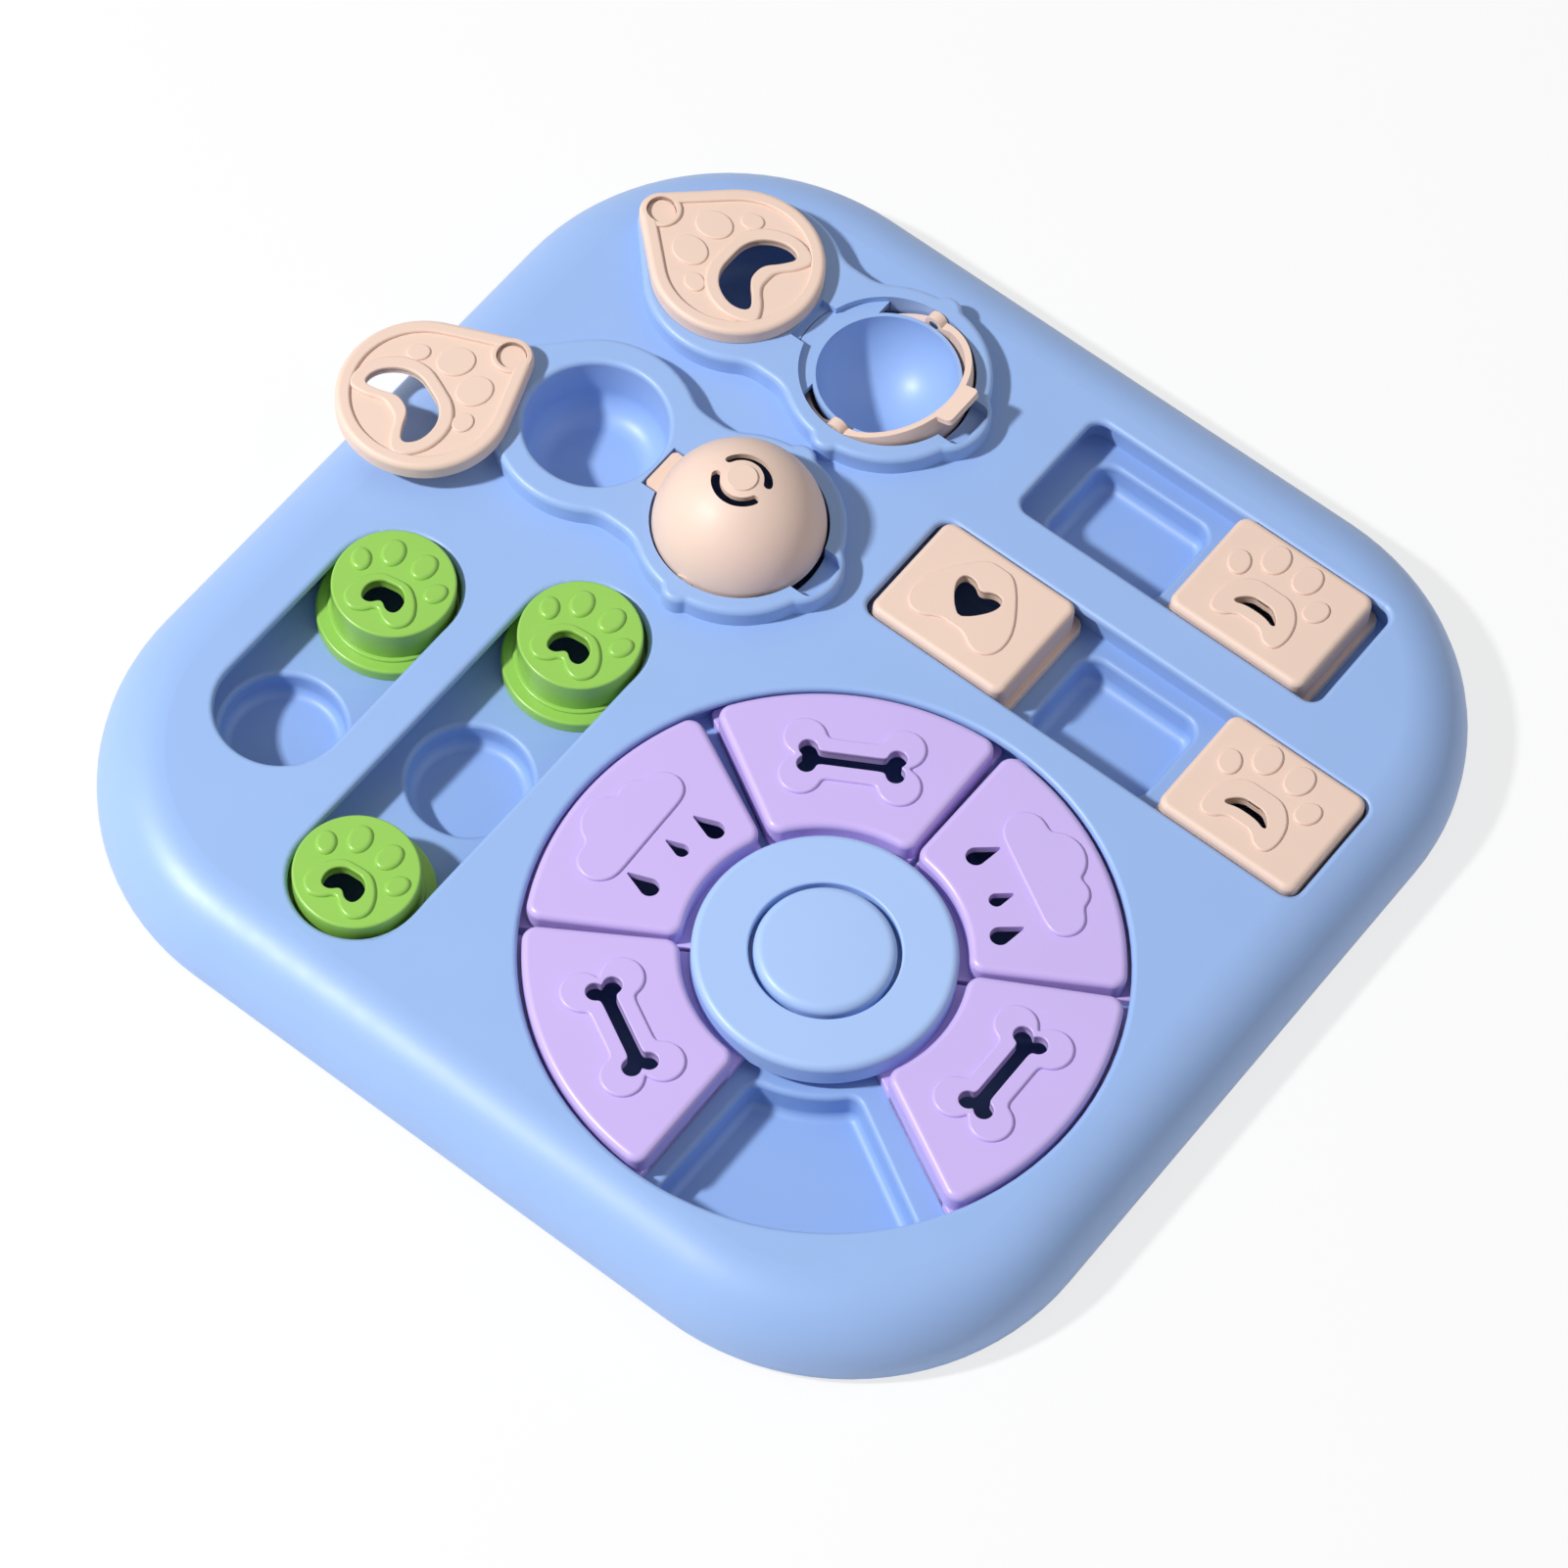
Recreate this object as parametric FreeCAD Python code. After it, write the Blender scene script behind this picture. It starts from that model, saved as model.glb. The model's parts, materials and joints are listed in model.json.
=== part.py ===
"""Dog puzzle feeder board, built as separate mouldings with their fasteners.

Sizes are in millimetres. The origin is the middle of the underside of the
central foot, +X points to the right of the board, +Y to its back, +Z up.
"""
import FreeCAD
import Part
import math
import os

from FreeCAD import Vector

# Case
BOARD_X = 300.0
BOARD_Y = 297.0
BOARD_CORNER_R = 72.0
DECK_TOP = 25.0
WALL = 2.0
RIM_ROUNDING = 18.5
OPENING_ROUNDING = 1.5
FOOT_HEIGHT = 1.5
FOOT_R = 9.0
FOOT_EDGE_INSET = 52.0
FOOT_CHAMFER = 0.5
COVER_SKIN = 1.6
COVER_EDGE = 2.1
COVER_EDGE_ROUNDING = 0.9
COVER_INSET = 0.2
LIP_HEIGHT = 0.8
LIP_THICKNESS = 1.6
FIT_GAP = 0.3
BOSS_R = 4.0
SCREW_R = 1.45
SCREW_HOLE_R = 1.5
SCREW_HEAD_R = 3.0
SCREW_HEAD_HEIGHT = 1.1
SCREW_LENGTH = 14.0
CASE_SCREW_EDGE = 13.0
CASE_SCREW_CORNER = 31.5
END_SCREW_EDGE = 10.0
SLIDER_CORNER_SHIFT = (4.0, -12.0)

# Trays under the deck
TRAY_WALL = 1.4
CUP_SKIN = 1.2
CUP_CLEARANCE = 0.1
CUP_RIM_ROUNDING = 1.6
CUP_BOTTOM_ROUNDING = 3.0
SLIDE_GAP = 0.2

# Ring of wedges round the hub
RING_X = 51.0
RING_Y = -51.0
RING_OPENING_R = 78.6
RING_CHANNEL_MARGIN = 2.4
RING_FLOOR_DEPTH = 9.0
RING_CUP_DEPTH = 10.0
RING_CUP_INSET = 5.8
RING_CUP_CORNER = 3.5
RING_CUP_EDGE = 0.6
RING_CUP_ROUNDING = 2.5
WEDGE_SPAN = 58.0
WEDGE_ANGLES = (0.7, 60.4, 120.6, 182.2, 241.8)
RING_CUP_PITCH = 60.0
WEDGE_GAP = 1.1
WEDGE_PROUD = 1.0
WEDGE_CORNER = 4.0
WEDGE_ROUNDING = 2.0
WEDGE_FLANGE = 3.0
WEDGE_WALL = 2.2
WEDGE_SKIN = 2.6
WEDGE_INSIDE_CORNER = 2.5
FLANGE_NECK_GAP = 1.5
FLANGE_CORNER = 2.0
MOTIF_SINK = 1.0
MOTIF_SHIFT = 1.2
CLOUD_SHIFT = 0.6
FLANGE_GAP = 0.5
HUB_R = 34.4
HUB_TOP_PROUD = 2.0
HUB_NECK_R = 30.0
HUB_EDGE = 2.4
HUB_ROUNDING = 2.0
HUB_HOLE_ROUNDING = 0.8
WEDGE_HUB_GAP = 2.6
BUTTON_R = 18.6
BUTTON_HOLE_GAP = 0.8
BUTTON_PROUD = 1.4
BUTTON_TRAVEL = 2.5
BUTTON_FLANGE = 4.4
BUTTON_ROUNDING = 2.2
BUTTON_CAVITY_R = 24.5
BUTTON_WELL_R = 24.0
BELLOWS_R = 13.0
BELLOWS_FOLD = 2.0
BELLOWS_FOLDS = 5
BELLOWS_LIFT = 2.0
HUB_SCREW_R = 1.2
HUB_SCREW_CIRCLE = 27.4
HUB_SCREW_HEAD = 0.6
HUB_SCREW_HEAD_HEIGHT = 1.0
HUB_SCREW_DEPTH = 4.3

# Green slots and round pucks
GREEN_SHORT_X = -103.8
GREEN_SHORT_ROWS = (-36.3, -82.0)
GREEN_LONG_X = -56.0
GREEN_LONG_ROWS = (-17.6, -63.3, -109.0)
GREEN_SLOT_HALF = 17.8
GREEN_CHANNEL_MARGIN = 3.6
GREEN_FLOOR_DEPTH = 12.3
GREEN_CUP_R = 16.5
PUCK_R = 16.6
PUCK_PROUD = 3.0
PUCK_FLANGE_HEIGHT = 3.7
PUCK_ROUNDING = 0.7
PUCK_FOOT_ROUNDING = 0.8
PUCK_WALL = 2.2
PUCK_SKIN = 2.6
PUCK_TURNS = (10.0, 6.0, 4.0)

# Pink slots and block sliders
PINK_SHORT_SLOT_X = (7.4, 105.6)
PINK_SHORT_Y = 106.8
PINK_SHORT_CUPS = (32.2, 78.3)
PINK_LONG_SLOT_X = (-5.2, 134.7)
PINK_LONG_Y = 55.5
PINK_LONG_CUPS = (18.3, 65.3, 112.3)
BLOCK_X = 43.4
BLOCK_Y = 35.6
BLOCK_GAP = 0.35
BLOCK_CORNER = 3.0
BLOCK_PROUD = 1.8
BLOCK_ROUNDING = 2.5
BLOCK_FLANGE = 2.0
BLOCK_FLANGE_END = 1.5
BLOCK_FLANGE_HEIGHT = 3.0
BLOCK_WALL = 2.2
BLOCK_SKIN = 2.8
BLOCK_INSIDE_CORNER = 1.5
PINK_FLOOR_DEPTH = 11.0
PINK_CORNER = 4.0
PINK_CUP_X = 36.4
PINK_CUP_Y = 29.0
PINK_CUP_CORNER = 5.0

# Raised housings, measured from their pivot
POD_PIVOTS = {"back": (-120.2, 97.2), "front": (-121.6, 34.6)}
POD_TOP_HEIGHT = 6.5
POD_PLATE = 2.3
POD_ROUNDING = 1.8
TREAT_OFFSET = 29.0
DOME_OFFSET = 77.5
TREAT_LOBE_R = 27.7
DOME_LOBE_R = 28.6
PIVOT_LOBE_R = 6.5
WAIST_HALF = 21.5
WAIST_ARC = 12.0
POCKET_R = 13.0
POCKET_OFFSET = 19.0
POCKET_HALF_WIDTH = 7.5
POCKET_START = 15.0
POCKET_SKIN = 2.0
POCKET_CORNER = 3.0
POD_CREASE_ROUNDING = 1.5
POD_CREASE_HALF = 5.0
POD_CREASE_REACH = 8.0
POD_RIM_ROUNDING = 1.5
POCKET_REACH = 29.6
LUG_BUMP_WIDTH = 9.0
LUG_BUMP_PROUD = 2.0
TREAT_BOWL_R = 19.5
BOWL_WALL = 1.4
BOWL_FLOOR = 10.0
TREAT_BOTTOM_ROUNDING = 8.0
BOWL_FLANGE = 1.6
BOWL_FLANGE_HEIGHT = 3.0

# Flip-over dome and its bowl
LID_AXIS_DROP = 2.0
LID_OUTER_R = 23.3
LID_INNER_R = 21.5
DOME_CAVITY_R = 24.0
DOME_BOWL_R = 19.2
DOME_BOWL_OUTER_R = 20.3
LEDGE_THICKNESS = 2.0
LEDGE_REACH = 1.6
LEDGE_START = 14.0
LID_DISC_PROUD = 0.2
LID_CROWN_DEPTH = 2.0
LID_SLOT_DEPTH = 6.0
TAB_CORNER = 1.5
TAB_LAP = 1.0
LUG_GAP = 0.4
LUG_SIDE_GAP = 0.5
HINGE_PIN_GAP = 0.2
LUG_R = 2.8
HINGE_PIN_R = 1.45
HINGE_HOLE_GAP = 0.06
HINGE_PIN_DEPTH = 3.5
TAB_WIDTH = 13.0
TAB_THICKNESS = 1.8
TAB_REACH = 27.0
TAB_NOTCH_GAP = 0.6
LID_DISC_R = 4.1
LID_SLOT_R = 7.0
LID_SLOT_WIDTH = 2.4
LID_SLOT_SPAN = 65.0
LID_OPEN_ANGLE = 160.0

# Swivel covers
SWIVEL_R = 23.8
SWIVEL_OFFSET = 26.3
SWIVEL_EYE_R = 6.0
SWIVEL_HEIGHT = 5.0
SWIVEL_ROUNDING = 1.6
SWIVEL_BORDER = 4.2
SWIVEL_RECESS = 1.0
SWIVEL_TOP_SKIN = 1.8
SWIVEL_SKIN = 2.0
SWIVEL_EYELET_R = 5.5
SWIVEL_EYELET_DROP = 0.2
SWIVEL_SWING = 113.0
COUNTERBORE_R = 4.1
COUNTERBORE_FLOOR = 1.5
PIN_HEAD_GAP = 0.1
PIN_HEAD_R = 3.9
PIN_R = 2.2
PIN_GAP = 0.05
PIN_HEAD_HEIGHT = 1.8
RAISED = 0.7

# Motifs, in flat places of their own piece: paw ovals are x, y, half x, half y, turn
PUCK_PAW = (
    (-4.65, 7.9, 3.5, 4.5, 8.0), (4.65, 7.9, 3.5, 4.5, -8.0),
    (-11.4, 1.9, 3.1, 3.8, 30.0), (11.4, 1.9, 3.1, 3.8, -30.0),
    (0.0, -3.6, 8.6, 6.4, 0.0), (-5.2, -7.6, 4.8, 4.6, 0.0), (5.2, -7.6, 4.8, 4.6, 0.0),
)
BLOCK_PAW = (
    (-5.0, 11.4, 3.9, 4.8, 6.0), (5.0, 11.4, 3.9, 4.8, -6.0),
    (-12.6, 4.4, 3.2, 4.0, 30.0), (12.6, 4.4, 3.2, 4.0, -30.0),
    (0.0, -3.0, 10.0, 6.6, 0.0), (-7.0, -7.2, 5.0, 4.4, 0.0), (7.0, -7.2, 5.0, 4.4, 0.0),
)
BLOCK_HEART_PAD = ((0.0, 1.5, 10.5, 12.0, 0.0), (-7.6, -3.4, 7.2, 7.4, 0.0), (7.6, -3.4, 7.2, 7.4, 0.0))
SWIVEL_PAW = (
    (14.0, 5.2, 5.6, 4.6, 0.0), (14.0, -5.2, 5.6, 4.6, 0.0),
    (21.4, 12.7, 3.3, 2.6, 20.0), (21.4, -12.7, 3.3, 2.6, -20.0),
)
PUCK_PAD_HOLES = ((2.2, -5.2, 3.1), (-2.2, -5.2, 3.1), (0.0, -3.9, 3.0))
BLOCK_CRESCENT = ((0.0, -8.2, 6.4), (0.0, -12.3, 8.4))
SWIVEL_CRESCENT = ((35.0, 0.0, 10.5), (44.0, 0.0, 12.9))
HEART_LOBES = ((3.3, 2.2, 3.4), (-3.3, 2.2, 3.4))
HEART_POINT = ((-6.1, 0.2), (0.0, -5.0), (6.1, 0.2), (0.0, 3.0))
BONE = (6.25, 5.8, 13.0, 5.3)
BONE_HOLE = (2.0, 2.6, 11.7, 2.3)
CLOUD_LOBES = ((5.5, -13.5, 5.5), (9.5, -7.5, 5.3), (9.7, 3.0, 8.5), (6.3, 13.5, 6.0))
CLOUD_BODY = (-13.5, 14.0, 9.0)
DROPS = ((43.5, -12.0, 2.6, 50.0), (46.8, -2.0, 1.9, 51.5), (47.0, 11.7, 2.6, 53.7))
DROP_TIP_R = 0.3

# Sizes that follow from those above
DECK_UNDER = DECK_TOP - WALL
SEAM = FOOT_HEIGHT + COVER_EDGE
COVER_TOP = FOOT_HEIGHT + COVER_SKIN
CUP_UNDER = COVER_TOP + CUP_CLEARANCE
CUP_FLOOR = CUP_UNDER + CUP_SKIN
RING_FLOOR = DECK_TOP - RING_FLOOR_DEPTH
GREEN_FLOOR = DECK_TOP - GREEN_FLOOR_DEPTH
PINK_FLOOR = DECK_TOP - PINK_FLOOR_DEPTH
POD_TOP = DECK_TOP + POD_TOP_HEIGHT
LID_AXIS_Z = POD_TOP - LID_AXIS_DROP
LEDGE_TOP = POD_TOP - POD_PLATE
BUTTON_HOLE_R = BUTTON_R + BUTTON_HOLE_GAP
HUB_TOP = DECK_TOP + HUB_TOP_PROUD
TREAT_HOLE_R = TREAT_BOWL_R + BOWL_WALL + FIT_GAP
WEDGE_INNER_R = HUB_R + WEDGE_HUB_GAP
WEDGE_OUTER_R = RING_OPENING_R - WEDGE_GAP
RING_CHANNEL_R = RING_OPENING_R + RING_CHANNEL_MARGIN
WEDGE_BOTTOM = RING_FLOOR + SLIDE_GAP
WEDGE_TOP = DECK_TOP + WEDGE_PROUD
FLANGE_TOP = WEDGE_BOTTOM + WEDGE_FLANGE
HUB_UNDER = FLANGE_TOP + SLIDE_GAP
BUTTON_STOP = HUB_TOP - HUB_EDGE
BUTTON_BOTTOM = HUB_UNDER + BUTTON_TRAVEL - SLIDE_GAP
BELLOWS_FLOOR = RING_FLOOR - RING_CUP_DEPTH + BELLOWS_LIFT
HALF_X = BOARD_X / 2
HALF_Y = BOARD_Y / 2
SIDE_SCREW_X = HALF_X - CASE_SCREW_EDGE
CORNER_SCREW_X = HALF_X - CASE_SCREW_CORNER
CORNER_SCREW_Y = HALF_Y - CASE_SCREW_CORNER
CASE_SCREWS = (
    (-SIDE_SCREW_X, -2.0), (-SIDE_SCREW_X, 66.0), (SIDE_SCREW_X, 14.0),
    (-CORNER_SCREW_X, -CORNER_SCREW_Y), (CORNER_SCREW_X, -CORNER_SCREW_Y),
    (-CORNER_SCREW_X, CORNER_SCREW_Y),
    (CORNER_SCREW_X + SLIDER_CORNER_SHIFT[0], CORNER_SCREW_Y + SLIDER_CORNER_SHIFT[1]),
    (-20.0, END_SCREW_EDGE - HALF_Y), (-12.0, HALF_Y - END_SCREW_EDGE),
)
FEET = (
    (0.0, 0.0),
    (FOOT_EDGE_INSET - HALF_X, FOOT_EDGE_INSET - HALF_Y),
    (HALF_X - FOOT_EDGE_INSET, FOOT_EDGE_INSET - HALF_Y),
    (FOOT_EDGE_INSET - HALF_X, HALF_Y - FOOT_EDGE_INSET),
    (HALF_X - FOOT_EDGE_INSET, HALF_Y - FOOT_EDGE_INSET),
)
FAR = 400.0
SAME = 0.01

ORIGIN = Vector(0, 0, 0)
UP = Vector(0, 0, 1)
ALONG_Y = Vector(0, 1, 0)


def cylinder(x, y, radius, bottom, top):
    """Upright cylinder between two heights."""
    return Part.makeCylinder(radius, top - bottom, Vector(x, y, bottom))


def block(x_low, x_high, y_low, y_high, bottom, top):
    """Box given by its limits along each axis."""
    size = (x_high - x_low, y_high - y_low, top - bottom)
    return Part.makeBox(*size, Vector(x_low, y_low, bottom))


def prism(wire, bottom, top):
    """Solid raised from a flat outline at height zero."""
    solid = Part.Face(wire).extrude(Vector(0, 0, top - bottom))
    solid.translate(Vector(0, 0, bottom))
    return solid


def upright_edges(solid):
    """Edges that run straight up."""
    return [
        edge for edge in solid.Edges
        if edge.BoundBox.XLength < SAME and edge.BoundBox.YLength < SAME
        and edge.BoundBox.ZLength > SAME
    ]


def edges_at(solid, height, centre=(0.0, 0.0), reach=(FAR, FAR)):
    """Level edges at a height whose box lies within a reach of a centre."""
    found = []
    for edge in solid.Edges:
        box = edge.BoundBox
        level = abs(box.ZMin - height) < SAME and abs(box.ZMax - height) < SAME
        inside_x = box.XMin > centre[0] - reach[0] and box.XMax < centre[0] + reach[0]
        inside_y = box.YMin > centre[1] - reach[1] and box.YMax < centre[1] + reach[1]
        if level and inside_x and inside_y:
            found.append(edge)
    return found


def rounded_block(x_low, x_high, y_low, y_high, bottom, top, corner):
    """Box with rounded upright edges."""
    solid = block(x_low, x_high, y_low, y_high, bottom, top)
    return solid.makeFillet(corner, upright_edges(solid))


def stadium(x, y_low, y_high, radius, bottom, top):
    """Long hole shape along Y between two end centres."""
    middle = block(x - radius, x + radius, y_low, y_high, bottom, top)
    ends = [cylinder(x, y, radius, bottom, top) for y in (y_low, y_high)]
    return middle.multiFuse(ends).removeSplitter()


def two_circle_outline(radius_a, distance, radius_b):
    """Outline round circle A at the origin and circle B along +X."""
    lean = math.acos((radius_a - radius_b) / distance)
    touch = Vector(math.cos(lean), math.sin(lean), 0)
    mirrored = Vector(touch.x, -touch.y, 0)
    centre_b = Vector(distance, 0, 0)
    a_top = touch * radius_a
    a_low = mirrored * radius_a
    b_top = centre_b + touch * radius_b
    b_low = centre_b + mirrored * radius_b
    far_a = Vector(-radius_a, 0, 0)
    far_b = Vector(distance + radius_b, 0, 0)
    edges = [
        Part.Arc(a_top, far_a, a_low).toShape(),
        Part.LineSegment(a_low, b_low).toShape(),
        Part.Arc(b_low, far_b, b_top).toShape(),
        Part.LineSegment(b_top, a_top).toShape(),
    ]
    return Part.Wire(edges)


def on_circle(radius, angle):
    """Point at a radius and an angle in degrees."""
    turn = math.radians(angle)
    return Vector(radius * math.cos(turn), radius * math.sin(turn), 0)


def sector(inner, outer, span, inset, bottom, top, corner):
    """Ring sector about +X, its straight sides set in, with rounded corners."""
    half_in = span / 2 - math.degrees(math.asin(inset / inner))
    half_out = span / 2 - math.degrees(math.asin(inset / outer))
    corners = [
        on_circle(inner, -half_in), on_circle(outer, -half_out),
        on_circle(outer, half_out), on_circle(inner, half_in),
    ]
    edges = [
        Part.LineSegment(corners[0], corners[1]).toShape(),
        Part.Arc(corners[1], on_circle(outer, 0), corners[2]).toShape(),
        Part.LineSegment(corners[2], corners[3]).toShape(),
        Part.Arc(corners[3], on_circle(inner, 0), corners[0]).toShape(),
    ]
    solid = prism(Part.Wire(edges), bottom, top)
    return solid.makeFillet(corner, upright_edges(solid))


def dome_bump(x, y, half_x, half_y, height, base, turn=0.0):
    """Low oval swelling whose widest section lies at the base height."""
    ball = Part.makeSphere(1.0)
    stretch = FreeCAD.Matrix()
    stretch.A11 = half_x
    stretch.A22 = half_y
    stretch.A33 = height
    oval = ball.transformGeometry(stretch)
    oval.rotate(ORIGIN, UP, turn)
    oval.translate(Vector(x, y, base))
    return oval


def moved(shape, x=0.0, y=0.0, turn=0.0):
    """Copy of a shape turned about the upright axis and then moved."""
    copy = shape.copy()
    copy.rotate(ORIGIN, UP, turn)
    copy.translate(Vector(x, y, 0))
    return copy


def board_block(inset, bottom, top):
    """Board outline set in from the edge, as an upright block."""
    corner = BOARD_CORNER_R - inset
    reach_x = HALF_X - inset
    reach_y = HALF_Y - inset
    return rounded_block(-reach_x, reach_x, -reach_y, reach_y, bottom, top, corner)


def hollow_of_case(gap):
    """Space inside the top moulding, kept a gap away from its side walls."""
    space = board_block(WALL + gap, SEAM - 1.0, DECK_UNDER)
    return space.makeFillet(RIM_ROUNDING - WALL, edges_at(space, DECK_UNDER))


def pink_opening(slot_x, y, bottom, top):
    """Opening of a pink slot in the deck."""
    half = BLOCK_Y / 2 + BLOCK_GAP
    return rounded_block(slot_x[0], slot_x[1], y - half, y + half, bottom, top, PINK_CORNER)


def slot_openings(bottom, top):
    """The five openings that the moving pieces run in."""
    half = GREEN_SLOT_HALF
    return [
        cylinder(RING_X, RING_Y, RING_OPENING_R, bottom, top),
        stadium(GREEN_SHORT_X, GREEN_SHORT_ROWS[1], GREEN_SHORT_ROWS[0], half, bottom, top),
        stadium(GREEN_LONG_X, GREEN_LONG_ROWS[2], GREEN_LONG_ROWS[0], half, bottom, top),
        pink_opening(PINK_SHORT_SLOT_X, PINK_SHORT_Y, bottom, top),
        pink_opening(PINK_LONG_SLOT_X, PINK_LONG_Y, bottom, top),
    ]


def make_top_shell():
    """Blue top moulding: deck, rounded rim, openings and screw bosses."""
    outer = board_block(0.0, SEAM, DECK_TOP)
    outer = outer.makeFillet(RIM_ROUNDING, edges_at(outer, DECK_TOP))
    shell = outer.cut(hollow_of_case(0.0))
    for x, y in CASE_SCREWS:
        boss = cylinder(x, y, BOSS_R, COVER_TOP, DECK_UNDER).common(outer)
        boss = boss.fuse(cylinder(x, y, BOSS_R, COVER_TOP, SEAM))
        shell = shell.fuse(boss)
    for x, y in CASE_SCREWS:
        shell = shell.cut(cylinder(x, y, SCREW_HOLE_R, COVER_TOP, SCREW_LENGTH + 1.0))
    for opening in slot_openings(DECK_UNDER - 1.0, DECK_TOP + 1.0):
        shell = shell.cut(opening)
    shell = shell.removeSplitter()
    for opening in slot_openings(DECK_UNDER, DECK_TOP):
        box = opening.BoundBox
        reach = (box.XLength / 2 + 1.0, box.YLength / 2 + 1.0)
        edges = edges_at(shell, DECK_TOP, (box.Center.x, box.Center.y), reach)
        shell = shell.makeFillet(OPENING_ROUNDING, edges)
    for x, y in POD_PIVOTS.values():
        treat = cylinder(x + TREAT_OFFSET, y, TREAT_HOLE_R, DECK_UNDER - 1.0, DECK_TOP + 1.0)
        dome = cylinder(x + DOME_OFFSET, y, DOME_CAVITY_R + FIT_GAP, DECK_UNDER - 1.0, DECK_TOP + 1.0)
        shell = shell.cut(treat).cut(dome)
    return shell


def make_bottom_cover():
    """Flat cover with a locating lip inside the top moulding's wall."""
    plate = board_block(COVER_INSET, FOOT_HEIGHT, SEAM)
    plate = plate.makeFillet(COVER_EDGE_ROUNDING, edges_at(plate, FOOT_HEIGHT))
    lip_outside = WALL + FIT_GAP
    lip = board_block(lip_outside, COVER_TOP, SEAM + LIP_HEIGHT)
    inside = board_block(lip_outside + LIP_THICKNESS, COVER_TOP, SEAM + LIP_HEIGHT)
    cover = plate.fuse(lip).cut(inside)
    for x, y in CASE_SCREWS:
        cover = cover.cut(cylinder(x, y, SCREW_HOLE_R, FOOT_HEIGHT, COVER_TOP))
    return cover


def make_case_screw(x, y):
    """Pan-head screw driven up into a boss of the top moulding."""
    head = cylinder(x, y, SCREW_HEAD_R, FOOT_HEIGHT - SCREW_HEAD_HEIGHT, FOOT_HEIGHT)
    return head.fuse(cylinder(x, y, SCREW_R, FOOT_HEIGHT, SCREW_LENGTH))


def make_foot(x, y):
    """Rubber pad under the bottom cover."""
    pad = cylinder(x, y, FOOT_R, 0.0, FOOT_HEIGHT)
    return pad.makeChamfer(FOOT_CHAMFER, edges_at(pad, 0.0))


def rounded_cup(hollow, floor, rounding):
    """Hollow of a cup with a rounded edge round its floor."""
    return hollow.makeFillet(rounding, edges_at(hollow, floor))


def carve_tray(body, channel, hollows, floor):
    """Cut the channel and its cups, then round the rims of the cups."""
    tray = body.cut(channel)
    for hollow in hollows:
        tray = tray.cut(hollow)
    tray = tray.removeSplitter()
    for hollow in hollows:
        box = hollow.BoundBox
        reach = (box.XLength / 2 + SAME, box.YLength / 2 + SAME)
        rim = edges_at(tray, floor, (box.Center.x, box.Center.y), reach)
        tray = tray.makeFillet(CUP_RIM_ROUNDING, rim)
    return tray


def make_green_tray(x, rows):
    """Channel and round cups under a green slot."""
    ends = (min(rows), max(rows))
    half = GREEN_SLOT_HALF + GREEN_CHANNEL_MARGIN
    channel = stadium(x, *ends, half, GREEN_FLOOR, DECK_UNDER)
    body = stadium(x, *ends, half + TRAY_WALL, GREEN_FLOOR - TRAY_WALL, DECK_UNDER)
    shells = [cylinder(x, y, GREEN_CUP_R + TRAY_WALL, CUP_UNDER, GREEN_FLOOR) for y in rows]
    hollows = []
    for y in rows:
        hollow = cylinder(x, y, GREEN_CUP_R, CUP_FLOOR, GREEN_FLOOR)
        hollows.append(rounded_cup(hollow, CUP_FLOOR, CUP_BOTTOM_ROUNDING))
    return carve_tray(body.multiFuse(shells), channel, hollows, GREEN_FLOOR)


def make_pink_tray(slot_x, y, cups):
    """Channel and oblong cups under a pink slot."""
    half = BLOCK_Y / 2 + BLOCK_FLANGE + FLANGE_GAP
    low = slot_x[0] - BLOCK_FLANGE
    high = slot_x[1] + BLOCK_FLANGE
    channel = rounded_block(low, high, y - half, y + half, PINK_FLOOR, DECK_UNDER, PINK_CORNER)
    body = rounded_block(
        low - TRAY_WALL, high + TRAY_WALL, y - half - TRAY_WALL, y + half + TRAY_WALL,
        PINK_FLOOR - TRAY_WALL, DECK_UNDER, PINK_CORNER + TRAY_WALL)
    shells = []
    hollows = []
    for x in cups:
        reach_x = PINK_CUP_X / 2
        reach_y = PINK_CUP_Y / 2
        hollow = rounded_block(
            x - reach_x, x + reach_x, y - reach_y, y + reach_y, CUP_FLOOR, PINK_FLOOR, PINK_CUP_CORNER)
        hollows.append(rounded_cup(hollow, CUP_FLOOR, CUP_BOTTOM_ROUNDING))
        reach_x += TRAY_WALL
        reach_y += TRAY_WALL
        shells.append(rounded_block(
            x - reach_x, x + reach_x, y - reach_y, y + reach_y,
            CUP_UNDER, PINK_FLOOR, PINK_CUP_CORNER + TRAY_WALL))
    return carve_tray(body.multiFuse(shells), channel, hollows, PINK_FLOOR)


def hub_screw_places():
    """Three screw places round the hub, about the ring's own centre."""
    return [on_circle(HUB_SCREW_CIRCLE, 30.0 + 120.0 * step) for step in range(3)]


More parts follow.
